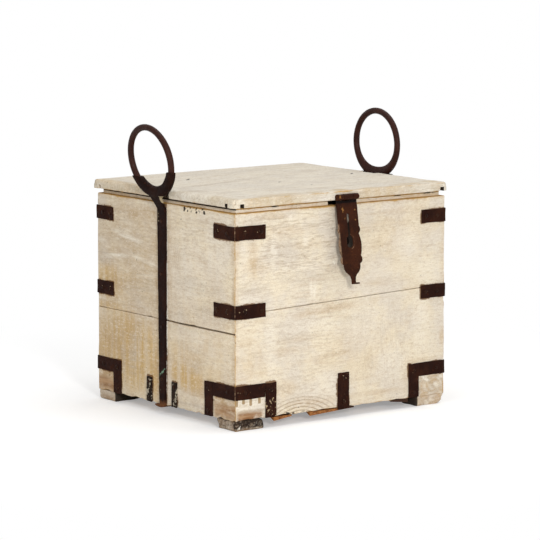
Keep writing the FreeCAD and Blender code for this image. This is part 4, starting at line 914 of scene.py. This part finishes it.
def turned_under(points):
    """Rounds the toe to a lump, nicks the left strap's neck and beats the right one's cradle low. Marks
    the rust at the foot, a copper stain above it and the limewash in old scratches."""
    x, y, z = points.T
    bulge = np.sqrt(np.clip(1 - ((y - TOE_MIDDLE) / TOE_HALF) ** 2, 0.05, 1))
    to_edge = np.clip((BAR_CENTRE - y) / NECK_HALF, 0, 1.2) * (x < 0)
    beaten_low = (x > 0) & (z > LOW_CRADLE)
    up = np.where(z < WALL_BOTTOM, WALL_BOTTOM - (WALL_BOTTOM - z) * bulge, z)
    up = np.where(beaten_low, LOW_CRADLE + 0.2 * (z - LOW_CRADLE), up)
    nicked = y + NECK_NICK * to_edge ** 2 * hump(z, 356, 371, 4)
    streak = (z - 70) - (6 - y) * 0.9
    scratches = np.exp(-((y - 11) / 2.5) ** 2) * (hump(z, 122, 146, 5) + hump(z, 328, 346, 5))
    neck_edge = hump(to_edge, 0.84, 1.5, 0.06) * hump(z, 358, 374, 3)
    return np.column_stack([x, nicked, up]), {
        "rusty": 0.75 * np.clip((34 - z) / 16, 0, 1),
        "verdigris": 0.62 * np.exp(-(streak / 5) ** 2) * hump(z, 60, 80, 3),
        "lime": np.maximum(0.36 * scratches, 0.9 * neck_edge),
    }


carry_iron = old_iron("carry_strap_iron", paint(26, 12, 8), paint(38, 19, 12), paint(70, 38, 20),
                      paint(176, 162, 132))
for strap_side, seed in (("left", 211), ("right", 215)):
    forged(f"{strap_side}_carry_strap", "box", carry_iron, cell=0.9, relax=3, dents=0.1, seed=seed,
           rework=turned_under)

# Standing rings: round bar scarfed and welded into a hoop, polished by hands. The cradles grip them. The
# left one has been knocked outwards, and the right one was left thick at its foot.
RING_RADIUS, RING_BAR = 57.0, 5.5
RING_LEAN = {"left": math.radians(9.7), "right": math.radians(-0.7)}
RING_HEEL = {"left": 0.0, "right": 9.0}
RING_SEGMENTS, BAR_SEGMENTS = 160, 20


def standing_ring(side, seed):
    low, high = node_box(f"{side}_ring")
    outward = -1.0 if side == "left" else 1.0
    round_ring = np.linspace(0, 2 * math.pi, RING_SEGMENTS, endpoint=False)
    round_bar = np.linspace(0, 2 * math.pi, BAR_SEGMENTS, endpoint=False)
    a, b = [grid.ravel() for grid in np.meshgrid(round_ring, round_bar, indexing="ij")]
    around = np.column_stack([np.cos(a) * 60, np.sin(a) * 60, np.zeros(len(a))])
    bar = RING_BAR * (1 + 0.02 * ripple(around, 30, seed) - 0.02)
    reach = RING_RADIUS + 0.35 * ripple(around, 90, seed + 1) + bar * np.cos(b)
    reach -= RING_HEEL[side] * np.clip(-np.sin(a), 0, 1) ** 2 * np.clip(-np.cos(b), 0, 1)
    lean = RING_LEAN[side]
    side_way, up = bar * np.sin(b), reach * np.sin(a)
    x = outward * (up * math.sin(lean)) + side_way * math.cos(lean)
    z = up * math.cos(lean) - outward * side_way * math.sin(lean)
    points = np.column_stack([x, reach * np.cos(a), z]) + (low + high) / 2
    index = np.arange(len(a)).reshape(RING_SEGMENTS, BAR_SEGMENTS)
    next_ring, next_bar = np.roll(index, -1, axis=0), np.roll(index, -1, axis=1)
    quads = [index, next_bar, np.roll(next_ring, -1, axis=1), next_ring]
    faces = np.stack(quads, axis=-1).reshape(-1, 4)
    add_piece(f"welded_{side}_ring", points, faces, ring_iron, "box", [f"{side}_ring"])


ring_iron = old_iron("ring_iron", paint(46, 22, 16), paint(58, 30, 22), paint(70, 38, 28),
                     paint(90, 62, 46), gloss=0.5, shine=0.12)
standing_ring("left", seed=221)
standing_ring("right", seed=231)

# Lid: two boards edge to edge, with a lip under each edge, a small block at each corner and two battens
# below, all nailed together. Hardwood, limewashed like the walls and bare underneath. It is notched for
# the carry straps, and its top edge and corners are rounded by wear.
LID_LOW, LID_HIGH = node_box("lid_front_board")
LID_BACK = node_box("lid_back_board")[1][1]
LID_OUTLINE_LOW = np.array([LID_LOW[0], LID_LOW[1]])
LID_OUTLINE_HIGH = np.array([LID_HIGH[0], LID_BACK])
LID_CORNER, LID_EDGE, LIP_UNDERSIDE = 10.0, 4.0, 371.0
NOTCH_DEEP, NOTCH_FRONT, NOTCH_BACK, NOTCH_SLOPE = 9.0, -21.0, 24.0, 0.8
CLOSED = 30.0
LID_GREY = [
    (-110, 12, 90, 9, 14, 0.8), (-20, 45, 80, 12, 18, 0.5), (-203, -60, 14, 44, 0, 0.7),
    (60, 140, 60, 20, 10, 0.4), (130, 70, 40, 14, 10, 0.4), (-60, 150, 60, 12, 10, 0.4),
    (40, -150, 130, 10, 0, 0.4), (-180, -110, 20, 14, 0, 0.5),
]
LID_HONEY = [
    (-125, -190, 40, 14, 0, 0.45), (0, -192, 14, 12, 0, 0.7), (150, -190, 26, 12, 0, 0.4),
    (-222, 150, 9, 50, 0, 0.5), (-224, 90, 7, 30, 0, 0.4), (60, -196, 18, 8, 0, 0.35),
    (-60, -196, 16, 8, 0, 0.35), (205, -185, 14, 14, 0, 0.4), (-150, -203, 60, 6, 0, 0.7),
    (80, -203, 60, 5, 0, 0.6), (-229, 110, 5, 90, 0, 0.5),
]
LID_SMUDGES = [
    (-108, 94, 9, 3.0, 40, 1.0), (-100, 102, 8, 2.6, 40, 0.9), (-132, 88, 7, 3.0, 30, 0.7),
    (-6, -34, 9, 3.0, 40, 0.8), (14, -98, 8, 3.0, 40, 0.7), (180, 0, 12, 3.0, 45, 0.9),
    (-197, -14, 10, 4, 20, 0.5),
]


def round_lid_corners(points):
    """Bends the square corners of the lid's outline to an arc."""
    inner = np.clip(points[:, :2], LID_OUTLINE_LOW + LID_CORNER, LID_OUTLINE_HIGH - LID_CORNER)
    out = points[:, :2] - inner
    square = np.abs(out).max(axis=1)
    length = np.maximum(np.linalg.norm(out, axis=1), 1e-9)
    in_corner = (np.abs(out) > 0).all(axis=1)
    points = points.copy()
    arc = inner + out * (square / length)[:, None]
    points[:, :2] = np.where(in_corner[:, None], arc, points[:, :2])
    return points


def lid_wood(low, high, closed, soft_ends, seed, step=3.0):
    """A lid board or lip. Its open edges are rounded; the closed ones stay tight to their neighbours."""
    xs = grid_lines(low[0], high[0], step, LID_EDGE)
    ys = grid_lines(low[1], high[1], step, LID_EDGE)
    slopes = (-NOTCH_SLOPE, 0, NOTCH_SLOPE)
    sills = [n + d for n in (NOTCH_FRONT, NOTCH_BACK) for d in slopes if low[1] < n < high[1]]
    ys = np.unique(np.concatenate([ys, sills]))
    zs = grid_lines(low[2], high[2], 1.6, 1.6)
    points, faces = block(xs, ys, zs)
    nicks = np.maximum(ripple(points, 15, seed) - 1.2, 0)
    at_ends = np.clip((np.abs(points[:, 0]) - 222) / 8, 0, 1)
    worn = soft_ends[0] + (soft_ends[1] - soft_ends[0]) * at_ends
    worn = (worn + 0.4 * ripple(points, 34, seed + 1) + 1.3 * nicks).clip(1.2, 8.0)
    open_low = np.array(low) - CLOSED * np.array([side in closed for side in ("left", "front", "under")])
    open_high = np.array(high) + CLOSED * np.array([side in closed for side in ("right", "back", "over")])
    return round_edges(points, open_low, open_high, worn[:, None]), faces


def notch(points):
    """Cuts the lid's ends back where the carry straps pass."""
    y = points[:, 1]
    cut = np.clip((y - NOTCH_FRONT) / NOTCH_SLOPE, 0, 1) * np.clip((NOTCH_BACK - y) / NOTCH_SLOPE, 0, 1)
    half = LID_OUTLINE_HIGH[0]
    points = points.copy()
    points[:, 0] *= (half - NOTCH_DEEP * cut) / half
    return points


def out_of_square(points):
    """Sets the back of the lid's left end out a few millimetres, and its right end in, as it was sawn."""
    x, y = points[:, 0], points[:, 1]
    points = points.copy()
    points[:, 0] -= 4.0 * np.clip((y - 30) / 170, 0, 1) * np.clip((-x - 150) / 70, 0, 1)
    points[:, 0] -= 2.0 * np.clip((x - 150) / 70, 0, 1)
    return points


def lid_marks(points):
    low = np.array([*LID_OUTLINE_LOW, LIP_UNDERSIDE])
    high = np.array([*LID_OUTLINE_HIGH, LID_HIGH[2]])
    to_side = np.minimum(points - low, high - points)
    near = np.sort(to_side, axis=1)
    edge_gap = np.hypot(np.maximum(near[:, 0], 0), np.maximum(near[:, 1], 0))
    x, y, z = points.T
    on_top = z > high[2] - 2
    gap_x = hump(np.abs(x), 210.5, 218.5, 0.2) * (np.abs(y + 1.5) > 176)
    gap_y = hump(np.abs(y + 1.5), 177, 184.8, 0.2) * (np.abs(x) > 203)
    # Painted shade in the gaps at the lid's front corners and in the notches for the carry straps.
    gap_shade = np.maximum(gap_x, gap_y) * (z < 377.9) * (y < 0)
    notch_shade = hump(y, NOTCH_FRONT, NOTCH_BACK, 0.5) * hump(np.abs(x), 219, 223, 1)
    smudge = 0.85 * strokes(x, y, LID_SMUDGES) * on_top
    honey = strokes(x, y, LID_HONEY)
    edge_thin = (0.30 + 0.3 * ripple(points, 28, 257)).clip(0, 1) * (~on_top)
    end_patch = hump(-x, 216, 240, 6) * (0.5 + 0.5 * ripple(points, 24, 255)).clip(0, 1)
    return {
        "wear": np.exp(-edge_gap / 3.0) * np.where(on_top, 0.95, 0.72), "rows": np.full(len(x), 0.5),
        "grime_and_shade": np.maximum(np.maximum(0.9 * gap_shade, 0.62 * notch_shade), smudge),
        "bare": (z < 378.5) * (to_side[:, :2].min(axis=1) > 3) * 0.9,
        "ash": np.maximum(strokes(x, y, LID_GREY), 0.15), "age": honey,
        "thin": np.maximum(np.maximum(honey, 0.7 * end_patch), edge_thin),
    }


def add_lid_wood(node, points, faces):
    add_piece(f"limewashed_{node}", points, faces, lid_wash, "lid", [node],
              lid_marks(points))


lid_wash = whitewash("lid_limewash", "X", paint(229, 221, 205), paint(222, 215, 202), paint(200, 184, 156),
                     thin=0.25, turn=(0, 0, math.radians(-10)))
BOARD_CLOSED = {"lid_front_board": ("under", "back"), "lid_back_board": ("under", "front")}
for number, (name, closed) in enumerate(BOARD_CLOSED.items()):
    low, high = node_box(name)
    points, faces = lid_wood(low, high, closed, soft_ends=(3.6, 8.0), seed=241 + 5 * number)
    points = out_of_square(round_lid_corners(notch(points)))
    hollows = (0.25 + 0.25 * ripple(points, (160, 60, 60), 251)).clip(0, 0.8)
    points[:, 2] -= (points[:, 2] > high[2] - 1) * hollows
    add_lid_wood(name, points, faces)

LIP_CLOSED = {
    "lid_front_lip": ("over", "left", "right", "back"), "lid_back_lip": ("over", "left", "right", "front"),
    "lid_left_lip": ("over", "right", "front", "back"), "lid_right_lip": ("over", "left", "front", "back"),
}
for number, (name, closed) in enumerate(LIP_CLOSED.items()):
    points, faces = lid_wood(*node_box(name), closed, soft_ends=(1.6, 2.8), seed=261 + 5 * number)
    if name in ("lid_left_lip", "lid_right_lip"):
        points = notch(points)
    add_lid_wood(name, out_of_square(round_lid_corners(points)), faces)

points, faces = join([sawn_board(low, high, step=2.0, edge=0.8, seed=281 + number)
                      for number, (low, high) in enumerate(solids_of("lid_corner_blocks"))])
add_lid_wood("lid_corner_blocks", out_of_square(round_lid_corners(points)), faces)

batten_finish = bare_wood("bare_batten_wood", "Y", paint(190, 150, 102), paint(160, 118, 74))
points, faces = join([sawn_board(low, high, step=8.0, edge=1.5, seed=291 + number)
                      for number, (low, high) in enumerate(solids_of("lid_battens"))])
add_piece("sawn_lid_battens", points, faces, batten_finish, "lid", ["lid_battens"])

# Back hinges: butt hinges of bent plate, with one leaf nailed to the wall, the other under the lid and
# a pin through the knuckles. Forged, and left dark like the straps.
LEAF_MAKE = {"cell": 0.8, "relax": 1, "dents": 0.06}
PIN_MAKE = {"cell": 0.6, "relax": 1, "dents": 0.03}
for number, side in enumerate(("left", "right")):
    forged(f"{side}_hinge_wall_leaf", "box", strap_iron, **LEAF_MAKE, seed=301 + number)
forged("hinge_pins", "box", strap_iron, **PIN_MAKE, seed=305)
for number, side in enumerate(("left", "right")):
    forged(f"{side}_hinge_lid_leaf", "lid", strap_iron, **LEAF_MAKE, seed=307 + number)

# Hasp: a flat leaf with scalloped edges and a long slit, rolled at its head round a pin that the lid's
# eye plate holds. Thinner iron, redder than the straps, rubbed bright along the roll.
ROLL_FOOT, KEYHOLE_LEVEL = 370.0, 301.5
LEAF_PAINT = [(-9, 350, 4, 12, 12, 0.36), (-18, 374, 3, 8, 0, 0.42), (16, 345, 3, 14, 0, 0.32)]


def rolled_head(points):
    """Marks painted shade under the roll, rubbed edges with a painted highlight on the lit left one, red
    rust lower down, and old paint caught on the leaf.
    """
    x, _, z = points.T
    lit_left_edge = hump(x, -30, -20.5, 1.2) * hump(z, 255, 330, 12)
    from_keyhole = np.hypot((x - 1) / 6.5, (z - KEYHOLE_LEVEL) / 10)
    keyhole_rim = np.exp(-((from_keyhole - 1.2) / 0.2) ** 2) * (x > 1)
    return points, {
        "soot_and_shade": 0.7 * hump(z, ROLL_FOOT - 4, ROLL_FOOT + 1, 2), "lime": strokes(x, z, LEAF_PAINT),
        "rub_and_sheen": np.maximum(0.80 * lit_left_edge, 0.66 * keyhole_rim), "rusty": 0.28 * hump(z, 225, 290, 30),
    }


hasp_iron = old_iron("hasp_iron", paint(46, 22, 12), paint(60, 30, 16), paint(86, 50, 26),
                     paint(150, 106, 58), gloss=0.52)
forged("hasp_eye", "lid", hasp_iron, cell=0.7, relax=1, dents=0.06, seed=311)
forged("hasp_pin", "lid", hasp_iron, **PIN_MAKE, seed=313)
forged("hasp", "hasp", hasp_iron, cell=0.8, relax=2, dents=0.12, seed=315, rework=rolled_head)

# Staple: a loop of round iron, forged and driven into the front wall. The hasp's keyhole drops over it,
# and its iron is painted near black as painted shade, as dark as the inside of the slot.
staple_shade_iron = old_iron("staple_shade_iron", paint(12, 8, 6), paint(18, 12, 9), paint(26, 18, 13),
                       paint(150, 140, 126), gloss=0.8)
forged("hasp_staple", "box", staple_shade_iron, cell=0.6, relax=1, dents=0.06, seed=321)

# Nails: hand-made of iron, with low uneven heads, driven through every iron and a few into the lid. Each
# is a little larger, flatter or more crooked than the next.
NAIL_HEAD, NAIL_RISE, NAIL_SPREAD = 3.6, 1.5, 0.18
HEAD_SEGMENTS, HEAD_RINGS = 10, 6
DENT_SCALE, DENT_PUSH = 420.0, 0.0022
NAIL_TILT = np.array([0.16, 0.16, 3.1])
NAIL_SOCKETS = {"Geometry": "Geometry", "Head radius": "Float", "Crown rise": "Float", "Spread": "Float",
                "Seed": "Int"}


def nail_heads(node):
    """Where each nail's head sits, and which way it faces."""
    seats, facings = [], []
    for points in islands_of(node):
        low, high = points.min(axis=0), points.max(axis=0)
        axis = int(np.argmax(high - low))
        seat = (low + high) / 2
        across = np.delete(points - seat, axis, axis=1)
        width = np.linalg.norm(across, axis=1)
        top_width = width[points[:, axis] > high[axis] - 2].max()
        foot_width = width[points[:, axis] < low[axis] + 2].max()
        facing = np.zeros(3)
        facing[axis] = 1.0 if top_width > foot_width else -1.0
        seat[axis] = high[axis] if top_width > foot_width else low[axis]
        seats.append(seat - facing * NAIL_RISE)
        facings.append(facing)
    return np.array(seats), np.array(facings)


def nail_tree(finish):
    """A Geometry Nodes group that sets an uneven, slightly crooked head on each nail's seat."""
    tree = bpy.data.node_groups.new("nail_heads", "GeometryNodeTree")
    for label, kind in NAIL_SOCKETS.items():
        tree.interface.new_socket(label, in_out="INPUT", socket_type=f"NodeSocket{kind}")
    tree.interface.new_socket("Geometry", in_out="OUTPUT", socket_type="NodeSocketGeometry")
    given = tree.nodes.new("NodeGroupInput").outputs

    def add(kind, output, inputs, **settings):
        return add_node(tree, kind, output, inputs, **settings)

    def vary(least, most):
        inputs = {"Min": least, "Max": most, "Seed": given["Seed"]}
        return add("FunctionNodeRandomValue", "Value", inputs, data_type="FLOAT_VECTOR")

    ball = {"Segments": HEAD_SEGMENTS, "Rings": HEAD_RINGS, "Radius": 1.0}
    head = add("GeometryNodeMeshUVSphere", "Mesh", ball)
    facing = add("GeometryNodeInputNamedAttribute", "Attribute", {"Name": "facing"},
                 data_type="FLOAT_VECTOR")
    upright = add("FunctionNodeAlignRotationToVector", "Rotation", {"Vector": facing}, axis="Z")
    tilt = add("FunctionNodeEulerToRotation", "Rotation", {"Euler": vary(-NAIL_TILT, NAIL_TILT)})
    crooked = add("FunctionNodeRotateRotation", "Rotation", {"Rotation": upright, "Rotate By": tilt},
                  rotation_space="LOCAL")
    radius, rise = given["Head radius"], given["Crown rise"]
    shape = add("ShaderNodeCombineXYZ", "Vector", {"X": radius, "Y": radius, "Z": rise})
    less = add("ShaderNodeMath", "Value", {0: 1.0, 1: given["Spread"]}, operation="SUBTRACT")
    more = add("ShaderNodeMath", "Value", {0: 1.0, 1: given["Spread"]}, operation="ADD")
    size = add("ShaderNodeVectorMath", "Vector", {0: shape, 1: vary(less, more)}, operation="MULTIPLY")
    nails = add("GeometryNodeInstanceOnPoints", "Instances", {
        "Points": given["Geometry"], "Instance": head, "Rotation": crooked, "Scale": size,
    })
    solid = add("GeometryNodeRealizeInstances", "Geometry", {"Geometry": nails})
    dents = add("ShaderNodeTexNoise", "Color", {"Scale": DENT_SCALE, "Detail": 1.0})
    centred = add("ShaderNodeVectorMath", "Vector", {0: dents, 1: (0.5, 0.5, 0.5)}, operation="SUBTRACT")
    push = add("ShaderNodeVectorMath", "Vector", {0: centred, "Scale": DENT_PUSH}, operation="SCALE")
    uneven = add("GeometryNodeSetPosition", "Geometry", {"Geometry": solid, "Offset": push})
    smooth = add("GeometryNodeSetShadeSmooth", "Geometry", {"Geometry": uneven})
    painted = add("GeometryNodeSetMaterial", "Geometry", {"Geometry": smooth, "Material": finish})
    feed(tree, tree.nodes.new("NodeGroupOutput"), {"Geometry": painted})
    return tree


def drive_nails(node, body, seed):
    seats, facings = nail_heads(node)
    mesh = bpy.data.meshes.new(f"{node}_seats")
    mesh.from_pydata((seats * MM).tolist(), [], [])
    layer = mesh.attributes.new("facing", "FLOAT_VECTOR", "POINT")
    layer.data.foreach_set("vector", facings.astype(np.float32).ravel())
    seats_object = bpy.data.objects.new(f"{node}_seats", mesh)
    bpy.context.scene.collection.objects.link(seats_object)
    modifier = seats_object.modifiers.new("nails", "NODES")
    modifier.node_group = nail_group
    sizes = {"Head radius": NAIL_HEAD * MM, "Crown rise": NAIL_RISE * MM, "Spread": NAIL_SPREAD,
             "Seed": seed}
    for socket in nail_group.interface.items_tree:
        if socket.in_out == "INPUT" and socket.name in sizes:
            modifier[socket.identifier] = sizes[socket.name]
    depsgraph = bpy.context.evaluated_depsgraph_get()
    driven = bpy.data.meshes.new_from_object(seats_object.evaluated_get(depsgraph))
    bpy.data.objects.remove(seats_object)
    set_piece(f"driven_{node}", driven, body, [node])


nail_iron = old_iron("nail_iron", paint(36, 19, 13), paint(54, 32, 21), paint(84, 54, 32),
                     paint(206, 178, 132), gloss=0.5)
nail_group = nail_tree(nail_iron)
drive_nails("box_nails", "box", seed=5)
drive_nails("lid_nails", "lid", seed=9)

# Studio: a pale floor that keeps the box's shadow, a white surround, one soft lamp in front, a little to
# the left, a wide one above, and a small card on the left that lifts the shade of the left end.
FLOOR_HALF, FLOOR_GLOW = 6.0, 0.3
floor_mesh = bpy.data.meshes.new("studio_floor")
floor_corners = [(x * FLOOR_HALF, y * FLOOR_HALF, 0) for x, y in ((-1, -1), (1, -1), (1, 1), (-1, 1))]
floor_mesh.from_pydata(floor_corners, [], [(0, 1, 2, 3)])
floor = bpy.data.objects.new("studio_floor", floor_mesh)
bpy.context.scene.collection.objects.link(floor)


def seen_rays(finish):
    """1 for rays that the camera, a gloss or a clear surface sends, 0 for those that only carry light."""
    path = finish.tree.nodes.new("ShaderNodeLightPath").outputs
    seen = finish.combine("MAXIMUM", path["Is Camera Ray"], path["Is Glossy Ray"])
    return finish.combine("MAXIMUM", seen, path["Is Transmission Ray"])


floor_paint = Finish(bpy.data.materials.new("studio_floor_paint"))
floor_seen = seen_rays(floor_paint)
feed(floor_paint.tree, floor_paint.surface, {
    "Base Color": (0.82, 0.82, 0.82, 1), "Roughness": 0.9, "Specular IOR Level": 0.0,
    "Emission Color": (1, 1, 1, 1), "Emission Strength": floor_paint.scaled(floor_seen, FLOOR_GLOW),
})
floor_place = floor_paint.add("ShaderNodeTexCoord", "Object", {})
floor_reach = floor_paint.add("ShaderNodeVectorMath", "Value", {0: floor_place}, operation="LENGTH")
far_off = floor_paint.between(floor_reach, 0.42, 0.95)
near_or_far = floor_paint.add("ShaderNodeMixShader", "Shader", {
    "Fac": floor_paint.scaled(far_off, floor_seen), 1: floor_paint.surface.outputs["BSDF"],
    2: floor_paint.add("ShaderNodeEmission", "Emission", {}),
})
feed(floor_paint.tree, floor_paint.tree.nodes["Material Output"], {"Surface": near_or_far})
floor_mesh.materials.append(floor_paint.material)

AMBIENT = 0.5
world = bpy.data.worlds.new("studio_surround")
surround = Finish(world)
feed(surround.tree, surround.tree.nodes["Background"], {
    "Color": (1, 1, 1, 1), "Strength": surround.between(seen_rays(surround), 0.0, 1.0, AMBIENT, 1.0),
})
bpy.context.scene.world = world

AIM = Vector((0.0, 0.0, 0.2))
LAMPS = {
    "front_softbox": ((-1.50, -3.24, 1.22), 0.45, 58.0),
    "overhead_softbox": ((0.4, -0.2, 3.0), 2.4, 36.0),
    "left_card": ((-0.95, -0.48, 0.40), 0.4, 1.0),
}
for lamp_name, (spot, width, power) in LAMPS.items():
    lamp = bpy.data.lights.new(lamp_name, "AREA")
    lamp.size = width
    lamp.energy = power
    lamp_object = bpy.data.objects.new(lamp_name, lamp)
    lamp_object.location = spot
    lamp_object.rotation_euler = (AIM - Vector(spot)).to_track_quat("-Z", "Y").to_euler()
    lamp_object.visible_camera = False
    bpy.context.scene.collection.objects.link(lamp_object)

# Camera: a long lens, as far off and as high as the photograph's, turned towards the front and the left
# end together.
CAMERA_SPOT = (-3.1711, -4.1661, 0.9558)
CAMERA_TURN = (math.radians(82.1), 0.0, math.radians(-37.27))
LENS_LENGTH, SENSOR_WIDTH = 203.47, 36.0
camera_lens = bpy.data.cameras.new("studio_camera")
camera_lens.lens = LENS_LENGTH
camera_lens.sensor_width = SENSOR_WIDTH
camera = bpy.data.objects.new("studio_camera", camera_lens)
camera.location = CAMERA_SPOT
camera.rotation_euler = CAMERA_TURN
bpy.context.scene.collection.objects.link(camera)
bpy.context.scene.camera = camera
bpy.context.scene.view_settings.view_transform = "Standard"
